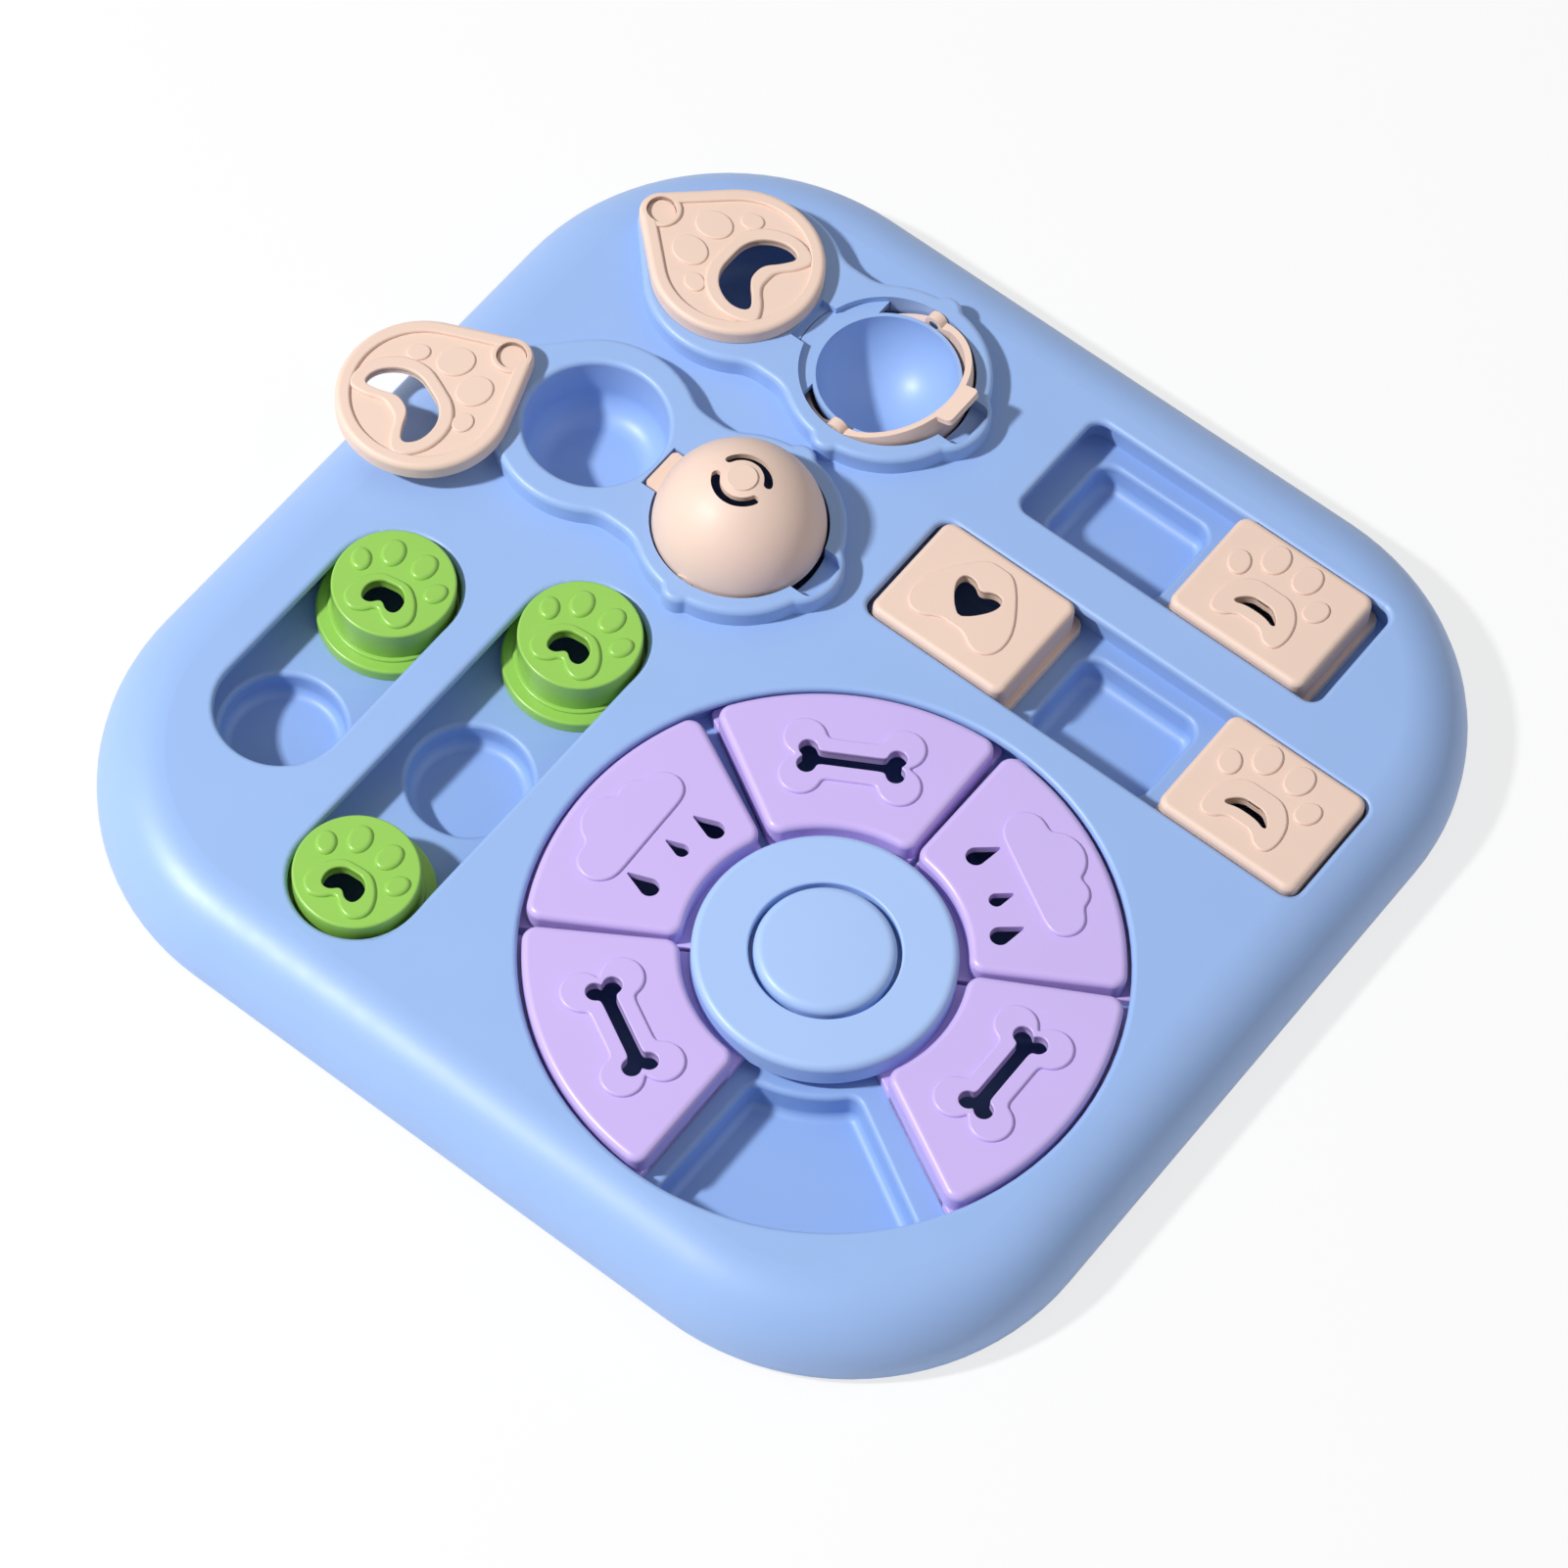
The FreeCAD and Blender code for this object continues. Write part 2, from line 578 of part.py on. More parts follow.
def make_ring_tray():
    """Round channel with six cups, the hub's neck and the button's well."""
    floor_under = RING_FLOOR - TRAY_WALL
    cup_floor = RING_FLOOR - RING_CUP_DEPTH
    cup_outer = RING_OPENING_R - RING_CUP_EDGE
    body = cylinder(0, 0, RING_CHANNEL_R + TRAY_WALL, floor_under, DECK_UNDER)
    channel = cylinder(0, 0, RING_CHANNEL_R, RING_FLOOR, DECK_UNDER)
    neck = cylinder(0, 0, HUB_NECK_R, RING_FLOOR, HUB_UNDER)
    channel = channel.cut(neck)
    shells = [cylinder(0, 0, BUTTON_WELL_R + TRAY_WALL, BELLOWS_FLOOR - TRAY_WALL, RING_FLOOR)]
    hollows = []
    for step in range(6):
        turn = RING_CUP_PITCH * step
        shell = sector(
            WEDGE_INNER_R - TRAY_WALL, cup_outer + TRAY_WALL, RING_CUP_PITCH,
            RING_CUP_INSET - TRAY_WALL, cup_floor - CUP_SKIN, RING_FLOOR, RING_CUP_CORNER + TRAY_WALL)
        hollow = sector(
            WEDGE_INNER_R, cup_outer, RING_CUP_PITCH, RING_CUP_INSET,
            cup_floor, RING_FLOOR, RING_CUP_CORNER)
        hollow = rounded_cup(hollow, cup_floor, RING_CUP_ROUNDING)
        shells.append(moved(shell, turn=turn))
        hollows.append(moved(hollow, turn=turn))
    tray = carve_tray(body.multiFuse(shells), channel, hollows, RING_FLOOR)
    tray = tray.cut(cylinder(0, 0, BUTTON_WELL_R, BELLOWS_FLOOR, HUB_UNDER))
    for place in hub_screw_places():
        tray = tray.cut(cylinder(place.x, place.y, HUB_SCREW_R + PIN_GAP, floor_under, HUB_UNDER))
    return moved(tray, RING_X, RING_Y)


def make_hub_cap():
    """Round cap in the middle of the ring, with the button's hole."""
    cap = cylinder(0, 0, HUB_R, HUB_UNDER, HUB_TOP)
    cap = cap.makeFillet(HUB_ROUNDING, edges_at(cap, HUB_TOP))
    cap = cap.cut(cylinder(0, 0, BUTTON_CAVITY_R, HUB_UNDER, BUTTON_STOP))
    cap = cap.cut(cylinder(0, 0, BUTTON_HOLE_R, BUTTON_STOP, HUB_TOP))
    reach = (BUTTON_HOLE_R + SAME, BUTTON_HOLE_R + SAME)
    cap = cap.makeFillet(HUB_HOLE_ROUNDING, edges_at(cap, HUB_TOP, reach=reach))
    for place in hub_screw_places():
        depth = HUB_SCREW_DEPTH + SLIDE_GAP
        cap = cap.cut(cylinder(place.x, place.y, HUB_SCREW_R + PIN_GAP, HUB_UNDER, HUB_UNDER + depth))
    return moved(cap, RING_X, RING_Y)


def make_hub_screw(place):
    """Small screw from under the ring tray into the hub cap."""
    head_top = RING_FLOOR - TRAY_WALL
    head = cylinder(
        place.x, place.y, HUB_SCREW_R + HUB_SCREW_HEAD, head_top - HUB_SCREW_HEAD_HEIGHT, head_top)
    shank = cylinder(place.x, place.y, HUB_SCREW_R, head_top, HUB_UNDER + HUB_SCREW_DEPTH)
    return moved(head.fuse(shank), RING_X, RING_Y)


def make_button():
    """Round push button with a collar that stops under the hub cap."""
    body = cylinder(0, 0, BUTTON_R, BUTTON_BOTTOM, HUB_TOP + BUTTON_PROUD)
    body = body.makeFillet(BUTTON_ROUNDING, edges_at(body, HUB_TOP + BUTTON_PROUD))
    collar = cylinder(0, 0, BUTTON_R + BUTTON_FLANGE, BUTTON_BOTTOM, BUTTON_STOP - FIT_GAP)
    return moved(body.fuse(collar), RING_X, RING_Y)


def make_bellows():
    """Folded rubber bellows under the button."""
    height = (BUTTON_BOTTOM - BELLOWS_FLOOR) / BELLOWS_FOLDS
    points = [Vector(0, 0, BELLOWS_FLOOR), Vector(BELLOWS_R - BELLOWS_FOLD, 0, BELLOWS_FLOOR)]
    for fold in range(BELLOWS_FOLDS):
        bottom = BELLOWS_FLOOR + height * fold
        points.append(Vector(BELLOWS_R, 0, bottom + height / 2))
        points.append(Vector(BELLOWS_R - BELLOWS_FOLD, 0, bottom + height))
    points.append(Vector(0, 0, BUTTON_BOTTOM))
    points.append(points[0])
    profile = Part.Face(Part.makePolygon(points))
    return moved(profile.revolve(ORIGIN, UP, 360.0), RING_X, RING_Y)


def bone(radius, sizes, bottom, top):
    """Bone shape lying across the wedge at a radius from the ring's centre."""
    half_shaft, lobe_r, along, across = sizes
    parts = [
        cylinder(radius + side * across, end * along, lobe_r, bottom, top)
        for side in (-1, 1) for end in (-1, 1)
    ]
    shaft = block(radius - half_shaft, radius + half_shaft, -along, along, bottom, top)
    return shaft.multiFuse(parts).removeSplitter()


def cloud(base, bottom, top):
    """Cloud with a straight edge towards the hub."""
    parts = [cylinder(base + out, side, radius, bottom, top) for out, side, radius in CLOUD_LOBES]
    low, high, depth = CLOUD_BODY
    body = block(base, base + depth, low, high, bottom, top).multiFuse(parts)
    return body.cut(block(base - depth, base, -FAR, FAR, bottom, top)).removeSplitter()


def drop(radius, side, size, tip, bottom, top):
    """Drop shaped hole whose point looks away from the hub."""
    outline = two_circle_outline(size, tip - radius - DROP_TIP_R, DROP_TIP_R)
    hole = prism(outline, bottom, top)
    hole.translate(Vector(radius, side, 0))
    return hole


def make_wedge(number):
    """Purple wedge with a gliding flange; odd ones show a bone, even ones a cloud."""
    middle = (WEDGE_INNER_R + WEDGE_OUTER_R) / 2 - MOTIF_SHIFT
    body = sector(WEDGE_INNER_R, WEDGE_OUTER_R, WEDGE_SPAN, 0.0, WEDGE_BOTTOM, WEDGE_TOP, WEDGE_CORNER)
    body = body.makeFillet(WEDGE_ROUNDING, edges_at(body, WEDGE_TOP))
    flange = sector(
        HUB_NECK_R + FLANGE_NECK_GAP, RING_CHANNEL_R - FLANGE_GAP, WEDGE_SPAN, 0.0,
        WEDGE_BOTTOM, FLANGE_TOP, FLANGE_CORNER)
    body = body.fuse(flange)
    under = sector(
        WEDGE_INNER_R + WEDGE_WALL, WEDGE_OUTER_R - WEDGE_WALL, WEDGE_SPAN, WEDGE_WALL,
        WEDGE_BOTTOM, WEDGE_TOP - WEDGE_SKIN, WEDGE_INSIDE_CORNER)
    body = body.cut(under)
    sunk = WEDGE_TOP - MOTIF_SINK
    proud = WEDGE_TOP + RAISED
    if number % 2:
        body = body.fuse(bone(middle, BONE, sunk, proud))
        body = body.cut(bone(middle, BONE_HOLE, WEDGE_BOTTOM, proud))
    else:
        body = body.fuse(cloud(middle - CLOUD_SHIFT, sunk, proud))
        for radius, side, size, tip in DROPS:
            body = body.cut(drop(radius, side, size, tip, WEDGE_BOTTOM, proud))
    return moved(body, RING_X, RING_Y, WEDGE_ANGLES[number - 1])


def add_bumps(body, bumps, surface):
    """Raise low ovals (x, y, half x, half y, turn) on a level surface."""
    for x, y, half_x, half_y, turn in bumps:
        body = body.fuse(dome_bump(x, y, half_x, half_y, RAISED, surface, turn))
    return body


def make_puck(x, y, turn):
    """Green round puck with a wide foot, a paw on top and a hole in the pad."""
    bottom = GREEN_FLOOR + SLIDE_GAP
    top = DECK_TOP + PUCK_PROUD
    body = cylinder(0, 0, PUCK_R, bottom, top)
    body = body.makeFillet(PUCK_ROUNDING, edges_at(body, top))
    foot_r = GREEN_SLOT_HALF + GREEN_CHANNEL_MARGIN - FLANGE_GAP
    foot = cylinder(0, 0, foot_r, bottom, bottom + PUCK_FLANGE_HEIGHT)
    foot = foot.makeFillet(PUCK_FOOT_ROUNDING, edges_at(foot, bottom + PUCK_FLANGE_HEIGHT))
    body = body.fuse(foot)
    body = body.cut(cylinder(0, 0, PUCK_R - PUCK_WALL, bottom, top - PUCK_SKIN))
    body = add_bumps(body, PUCK_PAW, top)
    for hole in PUCK_PAD_HOLES:
        body = body.cut(cylinder(*hole, bottom, top + RAISED))
    return moved(body, x, y, turn)


def slider_block():
    """Plain pink block with its gliding foot, hollow below."""
    bottom = PINK_FLOOR + SLIDE_GAP
    top = DECK_TOP + BLOCK_PROUD
    half_x = BLOCK_X / 2
    half_y = BLOCK_Y / 2
    body = rounded_block(-half_x, half_x, -half_y, half_y, bottom, top, BLOCK_CORNER)
    body = body.makeFillet(BLOCK_ROUNDING, edges_at(body, top))
    foot_x = half_x + BLOCK_FLANGE_END
    foot_y = half_y + BLOCK_FLANGE
    foot = rounded_block(
        -foot_x, foot_x, -foot_y, foot_y, bottom, bottom + BLOCK_FLANGE_HEIGHT, BLOCK_CORNER)
    hollow = rounded_block(
        BLOCK_WALL - half_x, half_x - BLOCK_WALL, BLOCK_WALL - half_y, half_y - BLOCK_WALL,
        bottom, top - BLOCK_SKIN, BLOCK_INSIDE_CORNER)
    return body.fuse(foot).cut(hollow), top


def crescent(circles, bottom, top):
    """First circle less the second, as an upright prism."""
    first, second = circles
    return cylinder(*first, bottom, top).cut(cylinder(*second, bottom, top))


def make_paw_slider(x, y):
    """Slider with a paw and a crescent hole in its pad."""
    body, top = slider_block()
    body = add_bumps(body, BLOCK_PAW, top)
    return moved(body.cut(crescent(BLOCK_CRESCENT, PINK_FLOOR, top + RAISED)), x, y)


def make_heart_slider(x, y):
    """Slider with a rounded triangle and a heart shaped hole."""
    body, top = slider_block()
    body = add_bumps(body, BLOCK_HEART_PAD, top)
    for lobe in HEART_LOBES:
        body = body.cut(cylinder(*lobe, PINK_FLOOR, top + RAISED))
    corners = [Vector(*corner, 0) for corner in HEART_POINT]
    point = Part.makePolygon(corners + corners[:1])
    return moved(body.cut(prism(point, PINK_FLOOR, top + RAISED)), x, y)


def arc_about(centre_x, centre_y, radius, start, end):
    """Arc edge about a centre from one angle to another, in radians."""
    points = []
    for angle in (start, (start + end) / 2, end):
        points.append(Vector(centre_x + radius * math.cos(angle), centre_y + radius * math.sin(angle), 0))
    return Part.Arc(*points).toShape()


def pod_outline():
    """Dumbbell outline of a housing round pivot, treat bowl and dome."""
    rise = WAIST_HALF + WAIST_ARC
    step_treat = math.sqrt((TREAT_LOBE_R + WAIST_ARC) ** 2 - rise ** 2)
    step_dome = math.sqrt((DOME_LOBE_R + WAIST_ARC) ** 2 - rise ** 2)
    waist_a = TREAT_OFFSET + step_treat
    waist_b = DOME_OFFSET - step_dome
    lean = math.acos((PIVOT_LOBE_R - TREAT_LOBE_R) / TREAT_OFFSET)
    turn_a = math.atan2(rise, step_treat)
    turn_b = math.atan2(rise, -step_dome)
    half_turn = math.pi
    upper = [
        arc_about(TREAT_OFFSET, 0, TREAT_LOBE_R, lean, turn_a),
        arc_about(waist_a, rise, WAIST_ARC, turn_a - half_turn, -half_turn / 2),
        Part.LineSegment(Vector(waist_a, WAIST_HALF, 0), Vector(waist_b, WAIST_HALF, 0)).toShape(),
        arc_about(waist_b, rise, WAIST_ARC, -half_turn / 2, turn_b - half_turn),
    ]
    flip = FreeCAD.Matrix()
    flip.A22 = -1.0
    lower = [edge.transformGeometry(flip) for edge in upper]
    round_dome = arc_about(DOME_OFFSET, 0, DOME_LOBE_R, turn_b, -turn_b)
    round_pivot = arc_about(0, 0, PIVOT_LOBE_R, lean, 2 * half_turn - lean)
    side = Vector(math.cos(lean), math.sin(lean), 0)
    treat = Vector(TREAT_OFFSET, 0, 0)
    top_line = Part.LineSegment(side * PIVOT_LOBE_R, treat + side * TREAT_LOBE_R).toShape()
    low_line = top_line.transformGeometry(flip)
    edges = upper + lower + [round_dome, round_pivot, top_line, low_line]
    return Part.Wire(Part.__sortEdges__(edges))


def make_pod():
    """Raised blue housing, about its pivot: rims, bearings, notch and finger pocket."""
    dome = DOME_OFFSET
    body = prism(pod_outline(), DECK_TOP, POD_TOP)
    extras = [cylinder(dome + POCKET_OFFSET, 0, POCKET_R, DECK_TOP, POD_TOP)]
    bump_r = LUG_BUMP_WIDTH / 2
    for side in (-1, 1):
        place = side * (DOME_LOBE_R + LUG_BUMP_PROUD - bump_r)
        extras.append(cylinder(dome, place, bump_r, DECK_TOP, POD_TOP))
    body = body.multiFuse(extras).removeSplitter()
    creases = [
        edge for edge in upright_edges(body)
        if abs(edge.BoundBox.YMin) > POD_CREASE_HALF and edge.BoundBox.XMin > dome - POD_CREASE_REACH
    ]
    body = body.makeFillet(POD_CREASE_ROUNDING, creases)
    body = body.makeFillet(POD_ROUNDING, edges_at(body, POD_TOP))
    body = body.cut(cylinder(TREAT_OFFSET, 0, TREAT_BOWL_R, DECK_TOP, POD_TOP))
    flange_r = TREAT_BOWL_R + BOWL_WALL + BOWL_FLANGE
    body = body.cut(cylinder(TREAT_OFFSET, 0, flange_r + FIT_GAP, DECK_TOP, DECK_TOP + BOWL_FLANGE_HEIGHT))
    body = body.cut(cylinder(dome, 0, DOME_CAVITY_R, DECK_TOP, POD_TOP))
    notch_half = TAB_WIDTH / 2 + TAB_NOTCH_GAP
    notch_reach = dome - TAB_REACH - TAB_NOTCH_GAP
    body = body.cut(block(notch_reach, dome - LID_INNER_R, -notch_half, notch_half, LEDGE_TOP, POD_TOP))
    ledge_space = cylinder(dome, 0, DOME_CAVITY_R + LEDGE_REACH + FIT_GAP, DECK_TOP, LEDGE_TOP)
    body = body.cut(ledge_space.common(block(0, dome - LEDGE_START + FIT_GAP, -FAR, FAR, 0, FAR)))
    pocket = rounded_block(
        dome + POCKET_START, dome + POCKET_REACH, -POCKET_HALF_WIDTH, POCKET_HALF_WIDTH,
        DECK_TOP + POCKET_SKIN, POD_TOP, POCKET_CORNER)
    body = body.cut(pocket)
    body = body.cut(cylinder(0, 0, PIN_R + PIN_GAP, DECK_TOP, POD_TOP))
    hole_r = HINGE_PIN_R + HINGE_HOLE_GAP
    for side in (-1, 1):
        start = DOME_CAVITY_R - 1.0 if side > 0 else -DOME_CAVITY_R - HINGE_PIN_DEPTH
        base = Vector(dome, start, LID_AXIS_Z)
        body = body.cut(Part.makeCylinder(hole_r, HINGE_PIN_DEPTH + 1.0, base, ALONG_Y))
    rim_reach = TREAT_BOWL_R + SAME
    rim = edges_at(body, POD_TOP, (TREAT_OFFSET, 0.0), (rim_reach, rim_reach))
    return body.makeFillet(POD_RIM_ROUNDING, rim)


def make_treat_bowl():
    """Round bowl under a swivel cover, its flange clamped under the housing."""
    top = DECK_TOP + BOWL_FLANGE_HEIGHT
    outer_r = TREAT_BOWL_R + BOWL_WALL
    body = cylinder(TREAT_OFFSET, 0, outer_r, BOWL_FLOOR - BOWL_WALL, top)
    body = body.makeFillet(TREAT_BOTTOM_ROUNDING, edges_at(body, BOWL_FLOOR - BOWL_WALL))
    hollow = cylinder(TREAT_OFFSET, 0, TREAT_BOWL_R, BOWL_FLOOR, top)
    hollow = rounded_cup(hollow, BOWL_FLOOR, TREAT_BOTTOM_ROUNDING)
    flange = cylinder(TREAT_OFFSET, 0, outer_r + BOWL_FLANGE, DECK_TOP, top)
    return body.fuse(flange).cut(hollow)


def upper_half(radius):
    """Half ball about the lid's axis, open side down."""
    ball = Part.makeSphere(radius, Vector(DOME_OFFSET, 0, LID_AXIS_Z))
    return ball.common(block(0, 2 * FAR, -FAR, FAR, LID_AXIS_Z, FAR))


def make_dome_bowl():
    """Bowl that fits inside the dome when it is flipped under; held at its ledge."""
    centre = Vector(DOME_OFFSET, 0, LID_AXIS_Z)
    ball = Part.makeSphere(DOME_BOWL_OUTER_R, centre)
    below = block(0, 2 * FAR, -FAR, FAR, 0, LEDGE_TOP)
    bowl = ball.common(below)
    inner_r = DOME_CAVITY_R - SLIDE_GAP
    outer_r = DOME_CAVITY_R + LEDGE_REACH
    ledge = cylinder(DOME_OFFSET, 0, inner_r, LEDGE_TOP - LEDGE_THICKNESS, LEDGE_TOP)
    rest = cylinder(DOME_OFFSET, 0, outer_r, DECK_TOP, LEDGE_TOP)
    rest = rest.cut(cylinder(DOME_OFFSET, 0, inner_r, DECK_TOP, LEDGE_TOP - LEDGE_THICKNESS))
    left = block(0, DOME_OFFSET - LEDGE_START, -FAR, FAR, 0, FAR)
    ledge = ledge.fuse(rest).common(left)
    return bowl.fuse(ledge).cut(Part.makeSphere(DOME_BOWL_R, centre))


def make_dome_lid():
    """Half round lid, closed, with its tab, lugs, disc and two arc slots."""
    shell = upper_half(LID_OUTER_R)
    top = LID_AXIS_Z + LID_OUTER_R
    disc = cylinder(DOME_OFFSET, 0, LID_DISC_R, top - LID_CROWN_DEPTH, top + LID_DISC_PROUD)
    disc = disc.makeFillet(LID_DISC_PROUD - SAME, edges_at(disc, top + LID_DISC_PROUD))
    tab = block(
        DOME_OFFSET - TAB_REACH, DOME_OFFSET - LID_INNER_R + TAB_LAP, -TAB_WIDTH / 2, TAB_WIDTH / 2,
        LID_AXIS_Z, LID_AXIS_Z + TAB_THICKNESS)
    outside = [edge for edge in upright_edges(tab) if edge.BoundBox.XMax < DOME_OFFSET - LID_OUTER_R]
    tab = tab.makeFillet(TAB_CORNER, outside)
    lid = shell.multiFuse([disc, tab])
    lug_start = DOME_BOWL_OUTER_R + LUG_GAP
    lug_end = DOME_CAVITY_R - LUG_SIDE_GAP
    for side in (-1, 1):
        start = lug_start if side > 0 else -lug_end
        base = Vector(DOME_OFFSET, start, LID_AXIS_Z)
        lid = lid.fuse(Part.makeCylinder(LUG_R, lug_end - lug_start, base, ALONG_Y))
    inside = Part.makeSphere(LID_INNER_R, Vector(DOME_OFFSET, 0, LID_AXIS_Z))
    keep = block(0, 2 * FAR, -lug_start, lug_start, 0, FAR)
    lid = lid.cut(inside.common(keep))
    hole_r = HINGE_PIN_R + HINGE_HOLE_GAP
    base = Vector(DOME_OFFSET, -lug_end - 1.0, LID_AXIS_Z)
    lid = lid.cut(Part.makeCylinder(hole_r, 2 * lug_end + 2.0, base, ALONG_Y))
    for middle in (90.0, 270.0):
        lid = lid.cut(arc_slot(middle, top - LID_SLOT_DEPTH, top + LID_CROWN_DEPTH))
    return lid


def arc_slot(middle, bottom, top):
    """Curved slot with round ends on the crown of the dome."""
    inner = cylinder(0, 0, LID_SLOT_R - LID_SLOT_WIDTH / 2, bottom, top)
    ring = cylinder(0, 0, LID_SLOT_R + LID_SLOT_WIDTH / 2, bottom, top).cut(inner)
    reach = 2 * LID_SLOT_R
    ends = [on_circle(reach, LID_SLOT_SPAN), on_circle(reach, -LID_SLOT_SPAN)]
    corner = Vector(reach * 2, 0, 0)
    fan = Part.makePolygon([ORIGIN, ends[1], corner, ends[0], ORIGIN])
    slot = ring.common(prism(fan, bottom, top))
    for angle in (LID_SLOT_SPAN, -LID_SLOT_SPAN):
        place = on_circle(LID_SLOT_R, angle)
        slot = slot.fuse(cylinder(place.x, place.y, LID_SLOT_WIDTH / 2, bottom, top))
    return moved(slot, DOME_OFFSET, 0, middle)


def make_hinge_pin(side):
    """Short steel pin on one side of the dome."""
    start = DOME_BOWL_OUTER_R + LUG_GAP + HINGE_PIN_GAP
    end = DOME_CAVITY_R + HINGE_PIN_DEPTH - HINGE_PIN_GAP
    base = Vector(DOME_OFFSET, start if side > 0 else -end, LID_AXIS_Z)
    return Part.makeCylinder(HINGE_PIN_R, end - start, base, ALONG_Y)


def make_swivel_cover():
    """Teardrop cover about its pivot, with border, paw toes and pad hole."""
    bottom = POD_TOP + FIT_GAP
    top = bottom + SWIVEL_HEIGHT
    floor = top - SWIVEL_RECESS
    outline = two_circle_outline(SWIVEL_EYE_R, SWIVEL_OFFSET, SWIVEL_R)
    body = prism(outline, bottom, top)
    body = body.makeFillet(SWIVEL_ROUNDING, edges_at(body, top))
    recess = two_circle_outline(SWIVEL_EYE_R - SWIVEL_BORDER, SWIVEL_OFFSET, SWIVEL_R - SWIVEL_BORDER)
    body = body.cut(prism(recess, floor, top))
    under = two_circle_outline(SWIVEL_EYE_R - SWIVEL_SKIN, SWIVEL_OFFSET, SWIVEL_R - SWIVEL_SKIN)
    under = prism(under, bottom, floor - SWIVEL_TOP_SKIN)
    body = body.cut(under.cut(cylinder(0, 0, SWIVEL_EYE_R, bottom, top)))
    body = body.fuse(cylinder(0, 0, SWIVEL_EYELET_R, bottom, top - SWIVEL_EYELET_DROP))
    body = add_bumps(body, SWIVEL_PAW, floor)
    body = body.cut(crescent(SWIVEL_CRESCENT, bottom, top))
    body = body.cut(cylinder(0, 0, COUNTERBORE_R, bottom + COUNTERBORE_FLOOR, top))
    return body.cut(cylinder(0, 0, PIN_R + PIN_GAP, bottom, top))


def make_pivot_pin():
    """Pin that holds a swivel cover on its housing."""
    head_bottom = POD_TOP + FIT_GAP + COUNTERBORE_FLOOR + PIN_HEAD_GAP
    head = cylinder(0, 0, PIN_HEAD_R, head_bottom, head_bottom + PIN_HEAD_HEIGHT)
    return head.fuse(cylinder(0, 0, PIN_R, DECK_TOP, head_bottom))


def flipped(lid):
    """Lid turned over under its bowl."""
    copy = lid.copy()
    copy.rotate(Vector(DOME_OFFSET, 0, LID_AXIS_Z), ALONG_Y, LID_OPEN_ANGLE)
    return copy


def build_parts():
    """All pieces at rest, by node name."""
    parts = {
        "top_shell": make_top_shell(),
        "bottom_cover": make_bottom_cover(),
        "hub_cap": make_hub_cap(),
        "center_button": make_button(),
        "button_bellows": make_bellows(),
        "puck_short": make_puck(GREEN_SHORT_X, GREEN_SHORT_ROWS[0], PUCK_TURNS[0]),
        "puck_long_upper": make_puck(GREEN_LONG_X, GREEN_LONG_ROWS[0], PUCK_TURNS[1]),
        "puck_long_lower": make_puck(GREEN_LONG_X, GREEN_LONG_ROWS[2], PUCK_TURNS[2]),
        "paw_slider_short": make_paw_slider(PINK_SHORT_CUPS[1], PINK_SHORT_Y),
        "paw_slider_long": make_paw_slider(PINK_LONG_CUPS[2], PINK_LONG_Y),
        "heart_slider": make_heart_slider(PINK_LONG_CUPS[0], PINK_LONG_Y),
    }
    trays = {
        "green_tray_short": make_green_tray(GREEN_SHORT_X, GREEN_SHORT_ROWS),
        "green_tray_long": make_green_tray(GREEN_LONG_X, GREEN_LONG_ROWS),
        "pink_tray_short": make_pink_tray(PINK_SHORT_SLOT_X, PINK_SHORT_Y, PINK_SHORT_CUPS),
        "pink_tray_long": make_pink_tray(PINK_LONG_SLOT_X, PINK_LONG_Y, PINK_LONG_CUPS),
        "ring_tray": make_ring_tray(),
    }
    room = hollow_of_case(2 * FIT_GAP)
    for name, tray in trays.items():
        parts[name] = tray.common(room)
    for number in range(1, 6):
        parts[f"ring_wedge_{number}"] = make_wedge(number)
    for number, place in enumerate(hub_screw_places(), 1):
        parts[f"hub_screw_{number}"] = make_hub_screw(place)
    for number, place in enumerate(CASE_SCREWS, 1):
        parts[f"case_screw_{number}"] = make_case_screw(*place)
    for number, place in enumerate(FEET, 1):
        parts[f"rubber_foot_{number}"] = make_foot(*place)
    lid = make_dome_lid()
    lids = {"front": lid, "back": flipped(lid)}
    swings = {"front": -SWIVEL_SWING, "back": 0.0}
    for name, (x, y) in POD_PIVOTS.items():
        parts[f"pod_{name}"] = moved(make_pod(), x, y)
        parts[f"treat_bowl_{name}"] = moved(make_treat_bowl(), x, y)
        parts[f"dome_bowl_{name}"] = moved(make_dome_bowl(), x, y)
        parts[f"dome_lid_{name}"] = moved(lids[name], x, y)
        parts[f"swivel_cover_{name}"] = moved(make_swivel_cover(), x, y, swings[name])
        parts[f"pivot_pin_{name}"] = moved(make_pivot_pin(), x, y)
        parts[f"hinge_pin_{name}_1"] = moved(make_hinge_pin(1), x, y)
        parts[f"hinge_pin_{name}_2"] = moved(make_hinge_pin(-1), x, y)
    return parts


os.makedirs("parts", exist_ok=True)
for node, shape in build_parts().items():
    shape.exportStep(f"parts/{node}.step")
    print(node, len(shape.Solids), shape.isValid(), round(shape.Volume / 1000, 2), "cm3")
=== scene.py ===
"""Looks of the dog puzzle feeder board: fine mouldings, finishes, studio and camera."""

import json
import logging
import math
from dataclasses import dataclass
from enum import Enum
from typing import Callable

import bpy
from mathutils import Matrix, Vector


